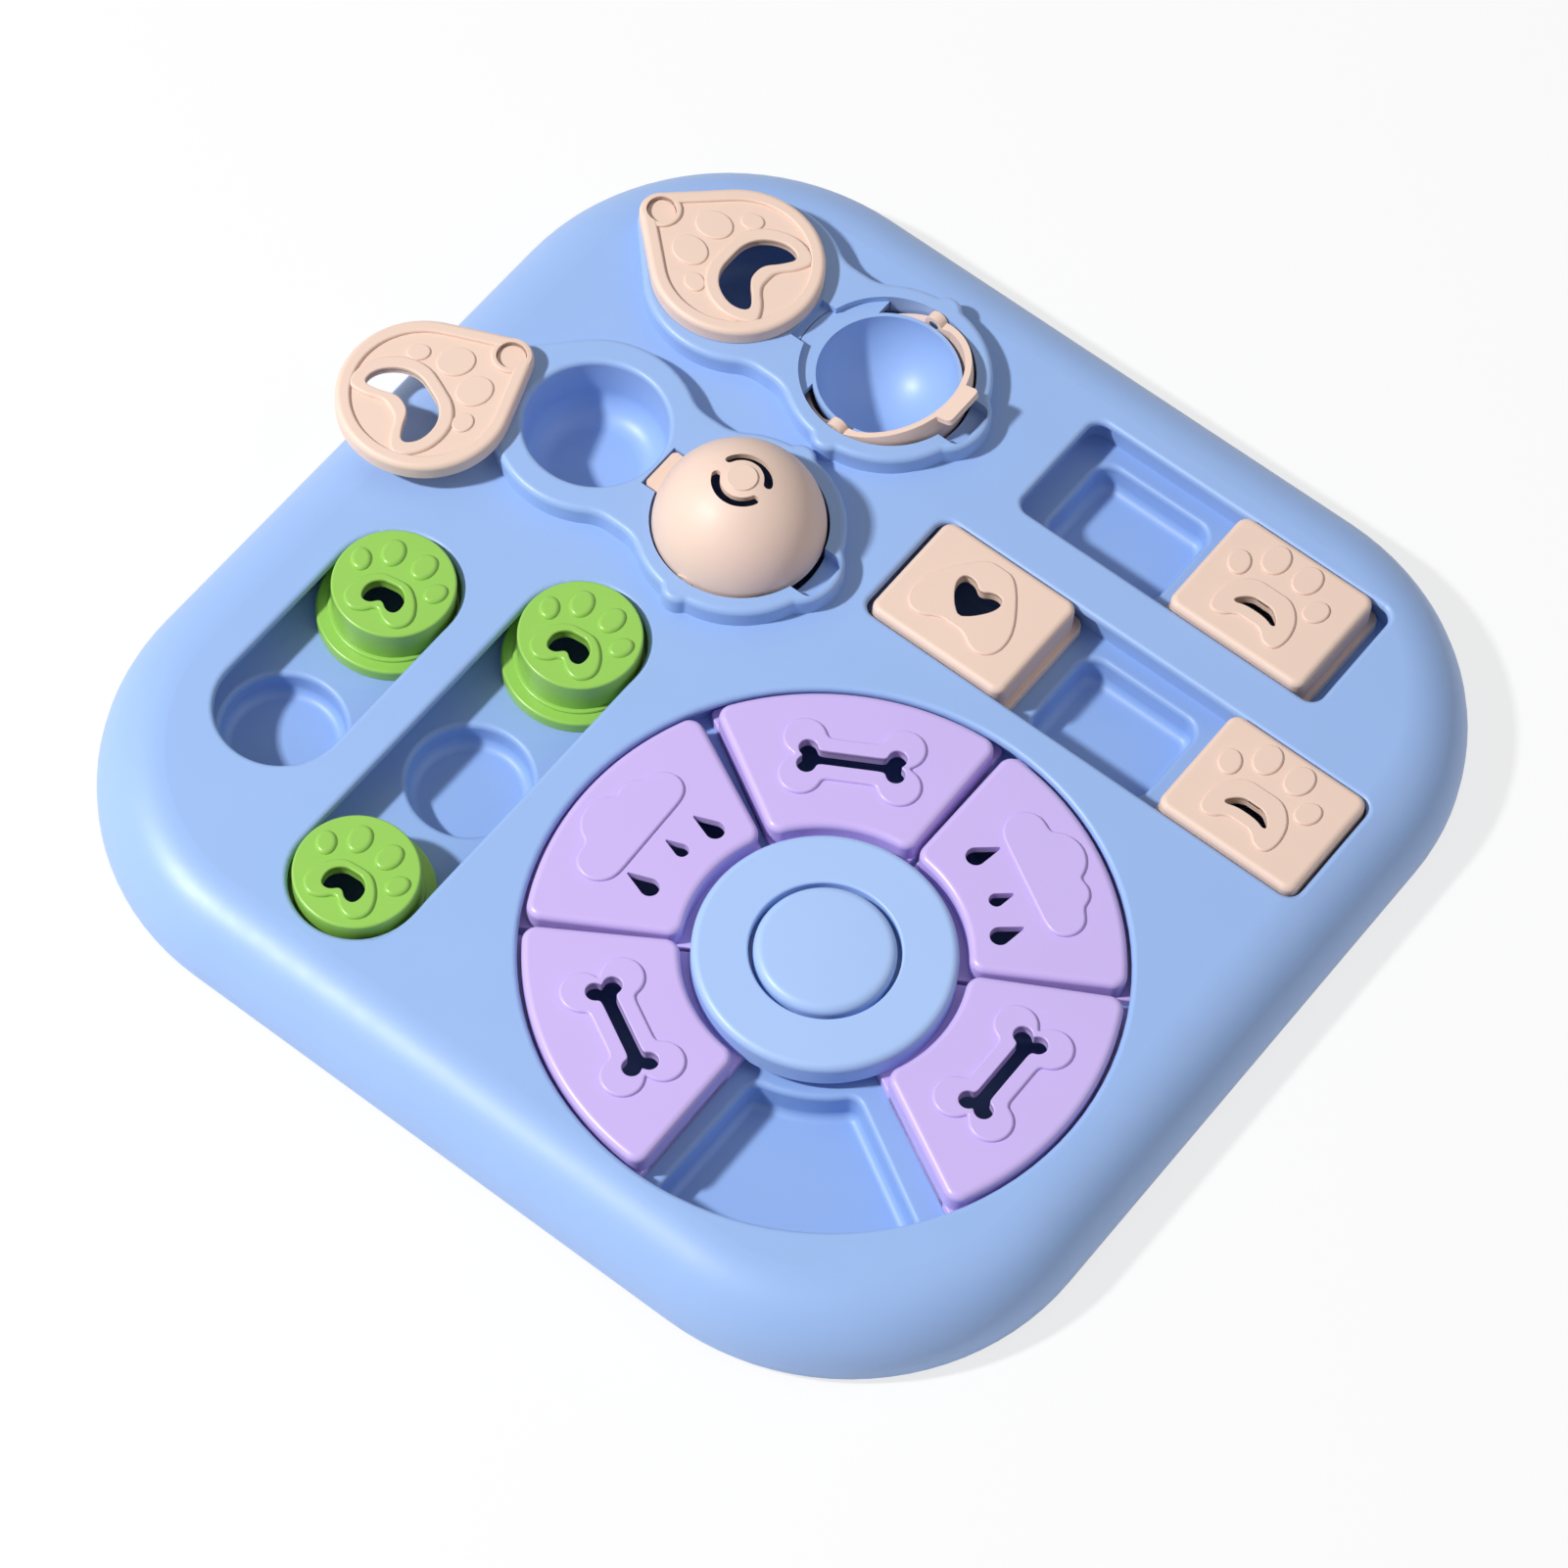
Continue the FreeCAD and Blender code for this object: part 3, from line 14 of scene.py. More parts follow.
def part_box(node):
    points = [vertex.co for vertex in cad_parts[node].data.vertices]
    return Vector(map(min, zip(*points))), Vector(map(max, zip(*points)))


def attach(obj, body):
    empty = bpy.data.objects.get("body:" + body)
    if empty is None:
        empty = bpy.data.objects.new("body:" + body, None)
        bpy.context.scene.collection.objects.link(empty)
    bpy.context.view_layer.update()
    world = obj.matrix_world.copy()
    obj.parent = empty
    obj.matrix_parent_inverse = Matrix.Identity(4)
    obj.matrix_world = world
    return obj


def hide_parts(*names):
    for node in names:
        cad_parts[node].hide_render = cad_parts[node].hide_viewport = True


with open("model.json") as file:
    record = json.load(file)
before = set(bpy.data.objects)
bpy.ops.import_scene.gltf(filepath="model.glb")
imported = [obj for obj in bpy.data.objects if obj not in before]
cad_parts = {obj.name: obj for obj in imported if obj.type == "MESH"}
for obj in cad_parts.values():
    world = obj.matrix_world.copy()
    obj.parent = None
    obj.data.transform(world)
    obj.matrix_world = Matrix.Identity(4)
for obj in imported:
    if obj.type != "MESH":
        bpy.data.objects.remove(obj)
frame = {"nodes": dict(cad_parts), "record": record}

MM = 0.001
UNDER = 1.0  # how far a cutter starts under what it cuts, in millimetres
OVER = 3.0  # how far a hole's cutter ends over the surface
SUNK = 0.6  # how deep a raised pad stands in the surface under it
APART = 0.1  # step between hollows that would else share a wall
LARGE = 144  # points of a large circle
HIDDEN = 96  # points of a circle under a moulding
HOLLOW_CORNER = 2.0

Point = tuple[float, float]

log = logging.getLogger("puzzle_board")


class Slot(Enum):
    """Material slots of the record."""

    TOP = "blue_top"
    COVER = "blue_cover"
    TRAY = "blue_tray"
    HUB = "blue_hub"
    POD = "blue_pod"
    PUCK = "green_puck"
    SLIDER = "pink_slider"
    SWIVEL = "pink_cover"
    WEDGE = "purple_wedge"
    STEEL = "steel"
    RUBBER = "rubber"


def math_node(tree: bpy.types.NodeTree, operation: str, left: object, right: object) -> bpy.types.NodeSocket:
    """Add a math node; a number is set on its socket and a socket is linked.

    Args:
        tree: Tree that gets the node.
        operation: Name of the operation.
        left: First value or socket.
        right: Second value or socket.

    Returns:
        The output socket.
    """
    node = tree.nodes.new("ShaderNodeMath")
    node.operation = operation
    for socket, value in zip(node.inputs, (left, right)):
        if isinstance(value, bpy.types.NodeSocket):
            tree.links.new(value, socket)
        else:
            socket.default_value = value
    return node.outputs[0]


def shown_directly(tree: bpy.types.NodeTree) -> bpy.types.NodeSocket:
    """Tell where the camera, a reflection or a clear surface sees the background.

    Args:
        tree: Tree that gets the nodes.

    Returns:
        A socket that is one there and zero elsewhere.
    """
    rays = tree.nodes.new("ShaderNodeLightPath")
    shown = rays.outputs["Is Camera Ray"]
    for name in ("Is Glossy Ray", "Is Transmission Ray"):
        shown = math_node(tree, "MAXIMUM", shown, rays.outputs[name])
    return shown


class MouldedSkin:
    """Shared node group: mottled colour, scuffs and the fine grain of a moulded surface."""

    NAME = "moulded_skin"
    MOTTLING = (38.0, 3.0)  # noise scale per metre and detail
    SCUFFS = (210.0, 5.0)
    GRAIN_DETAIL = 2.0
    MIDDLE = 0.5  # mean of a noise texture

    def group(self) -> bpy.types.NodeTree:
        """Build the group once.

        Returns:
            The node group with its named inputs and outputs.
        """
        ready = bpy.data.node_groups.get(self.NAME)
        if ready:
            return ready
        tree = bpy.data.node_groups.new(self.NAME, "ShaderNodeTree")
        sides = (
            ("Colour", "INPUT", "NodeSocketColor"), ("Mottling", "INPUT", "NodeSocketFloat"),
            ("Roughness", "INPUT", "NodeSocketFloat"), ("Scuffs", "INPUT", "NodeSocketFloat"),
            ("Grain Scale", "INPUT", "NodeSocketFloat"), ("Colour", "OUTPUT", "NodeSocketColor"),
            ("Roughness", "OUTPUT", "NodeSocketFloat"), ("Height", "OUTPUT", "NodeSocketFloat"),
        )
        for name, side, kind in sides:
            tree.interface.new_socket(name=name, in_out=side, socket_type=kind)
        into = tree.nodes.new("NodeGroupInput")
        out = tree.nodes.new("NodeGroupOutput")
        place = tree.nodes.new("ShaderNodeTexCoord")
        cloudy = self._noise(tree, place, *self.MOTTLING)
        scuff = self._noise(tree, place, *self.SCUFFS)
        grain = self._noise(tree, place, None, self.GRAIN_DETAIL)
        tree.links.new(into.outputs["Grain Scale"], grain.inputs["Scale"])
        centred = math_node(tree, "SUBTRACT", cloudy.outputs["Fac"], self.MIDDLE)
        shift = math_node(tree, "MULTIPLY", centred, into.outputs["Mottling"])
        value = math_node(tree, "ADD", shift, 1.0)
        tone = tree.nodes.new("ShaderNodeHueSaturation")
        tree.links.new(into.outputs["Colour"], tone.inputs["Color"])
        tree.links.new(value, tone.inputs["Value"])
        tree.links.new(tone.outputs["Color"], out.inputs["Colour"])
        worn = math_node(tree, "SUBTRACT", scuff.outputs["Fac"], self.MIDDLE)
        worn = math_node(tree, "MULTIPLY", worn, into.outputs["Scuffs"])
        rough = math_node(tree, "ADD", worn, into.outputs["Roughness"])
        tree.links.new(rough, out.inputs["Roughness"])
        tree.links.new(grain.outputs["Fac"], out.inputs["Height"])
        return tree

    @staticmethod
    def _noise(
        tree: bpy.types.NodeTree, place: bpy.types.Node, scale: float | None, detail: float,
    ) -> bpy.types.Node:
        """Add a noise texture on object coordinates.

        Args:
            tree: Tree that gets the node.
            place: Texture coordinate node.
            scale: Noise scale per metre, or None where a link sets it.
            detail: Number of finer octaves.

        Returns:
            The noise node.
        """
        noise = tree.nodes.new("ShaderNodeTexNoise")
        if scale is not None:
            noise.inputs["Scale"].default_value = scale
        noise.inputs["Detail"].default_value = detail
        tree.links.new(place.outputs["Object"], noise.inputs["Vector"])
        return noise


@dataclass(frozen=True)
class MouldedFinish:
    """Finish of a moulded piece."""

    name: str
    colour: tuple[float, float, float]
    roughness: float = 0.34
    scuffs: float = 0.12
    mottling: float = 0.05
    grain_scale: float = 2600.0
    grain_depth: float = 0.000012
    grain_strength: float = 0.35
    metallic: float = 0.0

    def material(self) -> bpy.types.Material:
        """Make the material once from the finish's values.

        Returns:
            The finish's material.
        """
        ready = bpy.data.materials.get(self.name)
        if ready:
            return ready
        made = bpy.data.materials.new(self.name)
        made.use_nodes = True
        tree = made.node_tree
        shader = tree.nodes["Principled BSDF"]
        skin = tree.nodes.new("ShaderNodeGroup")
        skin.node_tree = MouldedSkin().group()
        values = {
            "Colour": (*self.colour, 1.0), "Mottling": self.mottling, "Roughness": self.roughness,
            "Scuffs": self.scuffs, "Grain Scale": self.grain_scale}
        for name, value in values.items():
            skin.inputs[name].default_value = value
        bump = tree.nodes.new("ShaderNodeBump")
        bump.inputs["Strength"].default_value = self.grain_strength
        bump.inputs["Distance"].default_value = self.grain_depth
        shader.inputs["Metallic"].default_value = self.metallic
        tree.links.new(skin.outputs["Colour"], shader.inputs["Base Color"])
        tree.links.new(skin.outputs["Roughness"], shader.inputs["Roughness"])
        tree.links.new(skin.outputs["Height"], bump.inputs["Height"])
        tree.links.new(bump.outputs["Normal"], shader.inputs["Normal"])
        return made


BLUE = MouldedFinish("blue_plastic", (0.30, 0.455, 0.79), roughness=0.42)
BLUE_HUB = MouldedFinish("blue_hub_plastic", (0.375, 0.535, 0.87), roughness=0.42)
# The tray blue is darker than the deck's blue: partly the tray's own deeper tone, partly painted shade for
# the deep slots and cups that it lines.
BLUE_TRAY_WITH_PAINTED_SHADE = MouldedFinish("blue_tray_plastic_with_painted_shade", (0.26, 0.41, 0.74), roughness=0.45)
GREEN = MouldedFinish("green_plastic", (0.28, 0.56, 0.09), roughness=0.3)
PINK = MouldedFinish("pink_plastic", (0.80, 0.60, 0.50), roughness=0.5)
PURPLE = MouldedFinish("purple_plastic", (0.57, 0.445, 0.84), roughness=0.34)
STEEL = MouldedFinish(
    "zinc_steel", (0.55, 0.55, 0.57), roughness=0.32, scuffs=0.2, mottling=0.1,
    grain_scale=900.0, grain_depth=0.00002, metallic=1.0)
RUBBER = MouldedFinish(
    "grey_rubber", (0.05, 0.055, 0.065), roughness=0.8, scuffs=0.1, mottling=0.12,
    grain_scale=1500.0, grain_depth=0.00004)

FINISHES = {
    Slot.TOP: BLUE, Slot.COVER: BLUE, Slot.TRAY: BLUE_TRAY_WITH_PAINTED_SHADE, Slot.HUB: BLUE_HUB, Slot.POD: BLUE,
    Slot.PUCK: GREEN, Slot.SLIDER: PINK, Slot.SWIVEL: PINK, Slot.WEDGE: PURPLE,
    Slot.STEEL: STEEL, Slot.RUBBER: RUBBER,
}


class Outline:
    """Closed outlines in millimetres, as lists of points."""

    LOBE_STEPS = 22
    BONE_SIDE = 0.5
    BONE_EASING = 9
    CORNER_STEPS = 10
    OUTER_STEPS = 60
    INNER_STEPS = 40

    @staticmethod
    def disc(radius: float, steps: int = 48) -> list[Point]:
        """Circle about the origin."""
        return Outline.oval(0.0, 0.0, radius, radius, steps=steps)

    @staticmethod
    def oval(
        x: float, y: float, half_x: float, half_y: float, turn: float = 0.0, steps: int = 48,
    ) -> list[Point]:
        """Oval about a centre.

        Args:
            x: Centre.
            y: Centre.
            half_x: Half of its width.
            half_y: Half of its height.
            turn: Turn in degrees.
            steps: Number of points.

        Returns:
            The outline.
        """
        angles = [math.tau * step / steps for step in range(steps)]
        points = [(half_x * math.cos(angle), half_y * math.sin(angle)) for angle in angles]
        return Outline.moved(points, x, y, turn)

    @staticmethod
    def soft(half: tuple[Point, ...], rounds: int = 4) -> list[Point]:
        """Smooth curve inside a mirrored control polygon.

        Args:
            half: Control points with x at or above zero, from the highest to the lowest.
            rounds: Rounds of corner cutting.

        Returns:
            The outline, mirrored about x = 0.
        """
        points = [(-x, y) for x, y in half if x > 0.0] + list(reversed(half))
        for _ in range(rounds):
            cut = []
            for here, there in zip(points, points[1:] + points[:1]):
                for share in (0.25, 0.75):
                    cut.append(Outline.between(here, there, share))
            points = cut
        return points

    @staticmethod
    def between(here: Point, there: Point, share: float) -> Point:
        """Point on a line, a share of the way from one end to the other."""
        return here[0] + (there[0] - here[0]) * share, here[1] + (there[1] - here[1]) * share

    @staticmethod
    def rounded_rectangle(half_x: float, half_y: float, corner: float, steps: int = 12) -> list[Point]:
        """Rectangle about the origin with round corners.

        Args:
            half_x: Half of its length.
            half_y: Half of its width.
            corner: Corner radius.
            steps: Points of each corner.

        Returns:
            The outline.
        """
        square = math.radians(90.0)
        points = []
        for index, (sign_x, sign_y) in enumerate(((1, 1), (-1, 1), (-1, -1), (1, -1))):
            centre = (sign_x * (half_x - corner), sign_y * (half_y - corner))
            points += Outline.arc(centre, corner, square * index, square * (index + 1), steps)
        return points

    @staticmethod
    def teardrop(small: float, distance: float, large: float, steps: int = 96) -> list[Point]:
        """Outline round a small circle at the origin and a large one along +X.

        Args:
            small: Radius of the circle at the origin.
            distance: Distance between the centres.
            large: Radius of the far circle.
            steps: Points of the large arc.

        Returns:
            The outline.
        """
        lean = math.acos((small - large) / distance)
        round_end = Outline.arc((distance, 0.0), large, -lean, lean, steps)
        return round_end + Outline.arc((0.0, 0.0), small, lean, math.tau - lean, max(8, steps // 4))

    @staticmethod
    def sector(inner: float, outer: float, span: float, corner: float, inset: float = 0.0) -> list[Point]:
        """Ring sector about +X with round corners.

        Args:
            inner: Inner radius.
            outer: Outer radius.
            span: Angle between the sides in degrees.
            corner: Corner radius.
            inset: Distance by which the sides are set in.

        Returns:
            The outline.
        """
        half = math.radians(span / 2)
        far = outer - corner
        near = inner + corner
        far_turn = half - math.asin((corner + inset) / far)
        near_turn = half - math.asin((corner + inset) / near)
        square = math.radians(90.0)
        corners = (  # radius and angle of the centre, first and last angle of the arc
            (far, far_turn, far_turn, half + square),
            (near, near_turn, half + square, near_turn + 2 * square),
            (near, -near_turn, 2 * square - near_turn, 3 * square - half),
            (far, -far_turn, -half - square, -far_turn))
        rounds = []
        for radius, angle, start, end in corners:
            centre = (radius * math.cos(angle), radius * math.sin(angle))
            rounds.append(Outline.arc(centre, corner, start, end, Outline.CORNER_STEPS))
        outside = Outline.arc((0, 0), outer, -far_turn, far_turn, Outline.OUTER_STEPS)
        inside = Outline.arc((0, 0), inner, near_turn, -near_turn, Outline.INNER_STEPS)
        return outside + rounds[0][1:] + rounds[1] + inside[1:] + rounds[2][1:] + rounds[3][:-1]

    @staticmethod
    def bone(half_shaft: float, lobe: float, along: float, across: float) -> list[Point]:
        """Bone about the origin, its length along Y.

        Args:
            half_shaft: Half of the shaft's width.
            lobe: Radius of the four lobes.
            along: Distance of the lobes from the middle along Y.
            across: Distance of the lobes from the middle along X.

        Returns:
            The outline.
        """
        start = -math.acos((half_shaft - across) / lobe)
        end = math.acos(max(-1.0, -across / lobe))
        quarter = Outline.arc((across, along), lobe, start, end, Outline.LOBE_STEPS)
        upper = quarter + [(-x, y) for x, y in reversed(quarter)]
        ring = upper + [(-x, -y) for x, y in upper]
        return Outline.eased(Outline.spaced(ring, Outline.BONE_SIDE), Outline.BONE_EASING)

    @staticmethod
    def spaced(points: list[Point], step: float) -> list[Point]:
        """Put extra points on long sides.

        Args:
            points: Outline.
            step: Greatest length of a side.

        Returns:
            The outline with short sides.
        """
        dense = []
        for here, there in zip(points, points[1:] + points[:1]):
            parts = max(1, math.ceil(math.dist(here, there) / step))
            dense += [Outline.between(here, there, part / parts) for part in range(parts)]
        return dense

    @staticmethod
    def eased(points: list[Point], rounds: int) -> list[Point]:
        """Soften creases by moving each point to the mean of itself and its neighbours.

        Args:
            points: Outline.
            rounds: Number of passes.

        Returns:
            The softened outline.
        """
        for _ in range(rounds):
            points = [
                ((before[0] + here[0] + after[0]) / 3, (before[1] + here[1] + after[1]) / 3)
                for before, here, after in zip(points[-1:] + points[:-1], points, points[1:] + points[:1])
            ]
        return points

    @staticmethod
    def arc(centre: Point, radius: float, start: float, end: float, steps: int) -> list[Point]:
        """Points along an arc.

        Args:
            centre: Centre of the arc.
            radius: Radius.
            start: First angle in radians.
            end: Last angle in radians.
            steps: Number of spans.

        Returns:
            The points, both ends included.
        """
        points = []
        for step in range(steps + 1):
            angle = start + (end - start) * step / steps
            points.append((centre[0] + radius * math.cos(angle), centre[1] + radius * math.sin(angle)))
        return points

    @staticmethod
    def moved(points: list[Point], x: float, y: float, turn: float = 0.0) -> list[Point]:
        """Turn an outline about the origin and then move it.

        Args:
            points: Outline.
            x: Way along X.
            y: Way along Y.
            turn: Turn in degrees.

        Returns:
            The outline in its new place.
        """
        lean = math.radians(turn)
        cos, sin = math.cos(lean), math.sin(lean)
        return [(x + px * cos - py * sin, y + px * sin + py * cos) for px, py in points]


class Bench:
    """Modelling steps used by every new moulding."""

    STEEP = 0.5  # a face whose normal has less height than this is a wall
    LEVEL = 0.001  # an edge this near to a height, in millimetres, lies at it
    SHARP = 34.0  # degrees
    FLATS = 80  # weight of the large faces in the shading

    @staticmethod
    def clear() -> None:
        """Leave object mode with nothing selected."""
        if bpy.context.mode != "OBJECT":
            bpy.ops.object.mode_set(mode="OBJECT")
        bpy.ops.object.select_all(action="DESELECT")

    @staticmethod
    def pick(piece: bpy.types.Object) -> None:
        """Make one object the only selected and active one.

        Args:
            piece: Object to work on.
        """
        Bench.clear()
        piece.select_set(True)
        bpy.context.view_layer.objects.active = piece

    @staticmethod
    def unmark(mesh: bpy.types.Mesh) -> None:
        """Leave no vertex, edge or face of a mesh selected."""
        for group in (mesh.vertices, mesh.edges, mesh.polygons):
            group.foreach_set("select", [False] * len(group))

    @staticmethod
    def plate(name: str, outline: list[Point], bottom: float, top: float) -> bpy.types.Object:
        """Raise a plate from an outline.

        Args:
            name: Name of the object.
            outline: Closed outline in millimetres.
            bottom: Lower height in millimetres.
            top: Upper height in millimetres.

        Returns:
            The plate.
        """
        Bench.clear()
        bpy.ops.mesh.primitive_circle_add(vertices=len(outline), radius=1.0, fill_type="NGON")
        piece = bpy.context.active_object
        piece.name = name
        for vertex, (x, y) in zip(piece.data.vertices, outline):
            vertex.co = (x * MM, y * MM, bottom * MM)
        bpy.ops.object.mode_set(mode="EDIT")
        bpy.ops.mesh.select_all(action="SELECT")
        lift = (0.0, 0.0, (top - bottom) * MM)
        bpy.ops.mesh.extrude_region_move(TRANSFORM_OT_translate={"value": lift})
        bpy.ops.mesh.select_all(action="SELECT")
        bpy.ops.mesh.normals_make_consistent(inside=False)
        bpy.ops.object.mode_set(mode="OBJECT")
        return piece

    @staticmethod
    def round_rim(
        piece: bpy.types.Object, height: float, width: float, segments: int = 3,
        inside: Callable[[Vector], bool] | None = None,
    ) -> None:
        """Round the level edges at a height.

        Args:
            piece: Object to work on.
            height: Height of the edges in millimetres.
            width: Width of the rounding in millimetres.
            segments: Number of faces across the rounding.
            inside: Test that both ends of an edge must pass, in millimetres.
        """
        Bench.pick(piece)
        mesh = piece.data
        wall_edges = set()
        for polygon in mesh.polygons:
            if abs(polygon.normal.z) < Bench.STEEP:
                wall_edges.update(polygon.edge_keys)
        Bench.unmark(mesh)
        for edge in mesh.edges:
            ends = [mesh.vertices[index].co / MM for index in edge.vertices]
            level = all(abs(end.z - height) < Bench.LEVEL for end in ends)
            wanted = inside is None or all(inside(end) for end in ends)
            edge.select = level and wanted and edge.key in wall_edges
        bpy.context.tool_settings.mesh_select_mode = (False, True, False)
        bpy.ops.object.mode_set(mode="EDIT")
        bpy.ops.mesh.bevel(
            offset=width * MM, offset_type="OFFSET", segments=segments, profile=0.5, affect="EDGES")
        bpy.ops.object.mode_set(mode="OBJECT")

    @staticmethod
    def cut(piece: bpy.types.Object, tool: bpy.types.Object, keep_tool: bool = False) -> None:
        """Cut a tool out of a piece.

        Args:
            piece: Object to work on.
            tool: Closed object that is taken away.
            keep_tool: True if the tool is used again.
        """
        Bench.pick(piece)
        step = piece.modifiers.new("cut", "BOOLEAN")
        step.operation = "DIFFERENCE"
        step.solver = "EXACT"
        step.object = tool
        bpy.ops.object.modifier_apply(modifier=step.name)
        if not keep_tool:
            bpy.data.objects.remove(tool)

    @staticmethod
    def hollow(piece: bpy.types.Object, outline: list[Point], bottom: float, ceiling: float) -> None:
        """Hollow a piece out from below, up to a ceiling in millimetres."""
        Bench.cut(piece, Bench.plate("hollow", outline, bottom - UNDER, ceiling))

    @staticmethod
    def collar(
        name: str, outline: list[Point], hollow: list[Point], bottom: float, top: float, rounding: float,
    ) -> bpy.types.Object:
        """Raise a low collar that is open in the middle.

        Args:
            name: Name of the object.
            outline: Outer outline in millimetres.
            hollow: Outline of its opening.
            bottom: Lower height in millimetres.
            top: Upper height in millimetres.
            rounding: Width of its rounded upper edge.

        Returns:
            The collar.
        """
        piece = Bench.plate(name, outline, bottom, top)
        Bench.round_rim(piece, top, rounding)
        Bench.hollow(piece, hollow, bottom, top + UNDER)
        return piece

    @staticmethod
    def copy(piece: bpy.types.Object, name: str) -> bpy.types.Object:
        """Copy a piece with its own mesh.

        Args:
            piece: Object to copy.
            name: Name of the copy.

        Returns:
            The copy.
        """
        twin = piece.copy()
        twin.data = piece.data.copy()
        twin.name = name
        bpy.context.scene.collection.objects.link(twin)
        return twin

    @staticmethod
    def join(pieces: list[bpy.types.Object]) -> bpy.types.Object:
        """Join pieces into the first one.

        Args:
            pieces: Objects to join.

        Returns:
            The first object.
        """
        Bench.pick(pieces[0])
        for piece in pieces[1:]:
            piece.select_set(True)
        bpy.ops.object.join()
        return pieces[0]

    @staticmethod
    def hand_over(
        piece: bpy.types.Object, node: str, body: str, slot: Slot, place: Point, turn: float = 0.0,
    ) -> None:
        """Put a modelled piece in its place, smooth and dress it, and let it stand for its node.

        Args:
            piece: Piece about its own axis.
            node: Name of the node that it replaces.
            body: Body that it rides on.
            slot: Material slot of the record.
            place: Its place in millimetres, seen from above.
            turn: Its turn in degrees.
        """
        Bench.pick(piece)
        piece.rotation_euler = (0.0, 0.0, math.radians(turn))
        piece.location = (place[0] * MM, place[1] * MM, 0.0)
        bpy.ops.object.transform_apply(location=True, rotation=True, scale=True)
        bpy.ops.object.shade_smooth_by_angle(angle=math.radians(Bench.SHARP))
        step = piece.modifiers.new("flats", "WEIGHTED_NORMAL")
        step.keep_sharp = True
        step.weight = Bench.FLATS
        bpy.ops.object.modifier_apply(modifier=step.name)
        piece.data.materials.clear()
        piece.data.materials.append(FINISHES[slot].material())
        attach(piece, body)
        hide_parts(node)
        log.info("%s: %d faces", piece.name, len(piece.data.polygons))


def within(points: list[Point], spare: float = 0.03) -> Callable[[Vector], bool]:
    """Test for the box of an outline, widened a little.

    Args:
        points: Outline in millimetres.
        spare: Widening on each side.

    Returns:
        A function that tells whether a point in millimetres is inside.
    """
    low_x = min(point[0] for point in points) - spare
    high_x = max(point[0] for point in points) + spare
    low_y = min(point[1] for point in points) - spare
    high_y = max(point[1] for point in points) + spare
    return lambda end: low_x <= end.x <= high_x and low_y <= end.y <= high_y


def heights(node: str) -> tuple[float, float]:
    """Lowest and highest height of a CAD node in millimetres."""
    low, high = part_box(node)
    return low.z / MM, high.z / MM


def middle(node: str) -> Point:
    """Middle of a CAD node's box in millimetres, seen from above."""
    low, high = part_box(node)
    return (low.x + high.x) / 2 / MM, (low.y + high.y) / 2 / MM


def pierce(pieces: list[bpy.types.Object], outline: list[Point], bottom: float, surface: float) -> None:
    """Cut one upright hole through several pieces.

    Args:
        pieces: Objects to work on.
        outline: Outline of the hole in millimetres.
        bottom: Height of the underside.
        surface: Height of the surface.
    """
    tool = Bench.plate("hole", outline, bottom - UNDER, surface + OVER)
    for piece in pieces:
        Bench.cut(piece, tool, keep_tool=True)
    bpy.data.objects.remove(tool)


@dataclass(frozen=True)
class Relief:
    """Raised motif: how far it stands up, and how its outer edge and its hole's rim are rounded."""

    rise: float
    edge: float
    rim: float = 0.35
    edge_faces: int = 4
    rim_faces: int = 3

    def pad(self, name: str, outline: list[Point], surface: float) -> bpy.types.Object:
        """Raise a pad with a soft edge on a level surface.

        Args:
            name: Name of the object.
            outline: Outline in millimetres.
            surface: Height of the surface.

        Returns:
            The pad, sunk a little into the surface.
        """
        pad = Bench.plate(name, outline, surface - SUNK, surface + self.rise)
        Bench.round_rim(pad, surface + self.rise, self.edge, self.edge_faces)
        return pad

    def opened(
        self, body: bpy.types.Object, name: str, outline: list[Point], hole: list[Point],
        bottom: float, surface: float,
    ) -> bpy.types.Object:
        """Raise a pad and cut one hole through it and the body under it.

        Args:
            body: Body that carries the pad.
            name: Name of the pad.
            outline: Outline of the pad in millimetres.
            hole: Outline of the hole.
            bottom: Height at which the hole ends.
            surface: Height of the surface.

        Returns:
            The pad, still apart from the body.
        """
        pad = self.pad(name, outline, surface)
        pierce([body, pad], hole, bottom, surface)
        Bench.round_rim(pad, surface + self.rise, self.rim, self.rim_faces, within(hole))
        return pad


@dataclass(frozen=True)
class Toe:
    """Oval toe of a paw whose middle line lies along Y."""

    aside: float
    along: float
    half_aside: float
    half_along: float
    lean: float

    def outline(self, side: int) -> list[Point]:
        """Outline of the toe on the side of -1 or 1."""
        return Outline.oval(
            self.aside * side, self.along, self.half_aside, self.half_along, -self.lean * side)


def toe_pads(
    toes: tuple[Toe, ...], motif: Relief, surface: float, shift: float = 0.0, turn: float = 0.0,
) -> list[bpy.types.Object]:
    """Raise the toes of a paw on both of its sides.

    Args:
        toes: Toes of one side.
        motif: How the toes stand up.
        surface: Height of the surface in millimetres.
        shift: Way of the paw along X.
        turn: Turn of the paw in degrees.

    Returns:
        The toe pads.
    """
    pads = []
    for side in (-1, 1):
        for toe in toes:
            pads.append(motif.pad("toe", Outline.moved(toe.outline(side), shift, 0.0, turn), surface))
    return pads


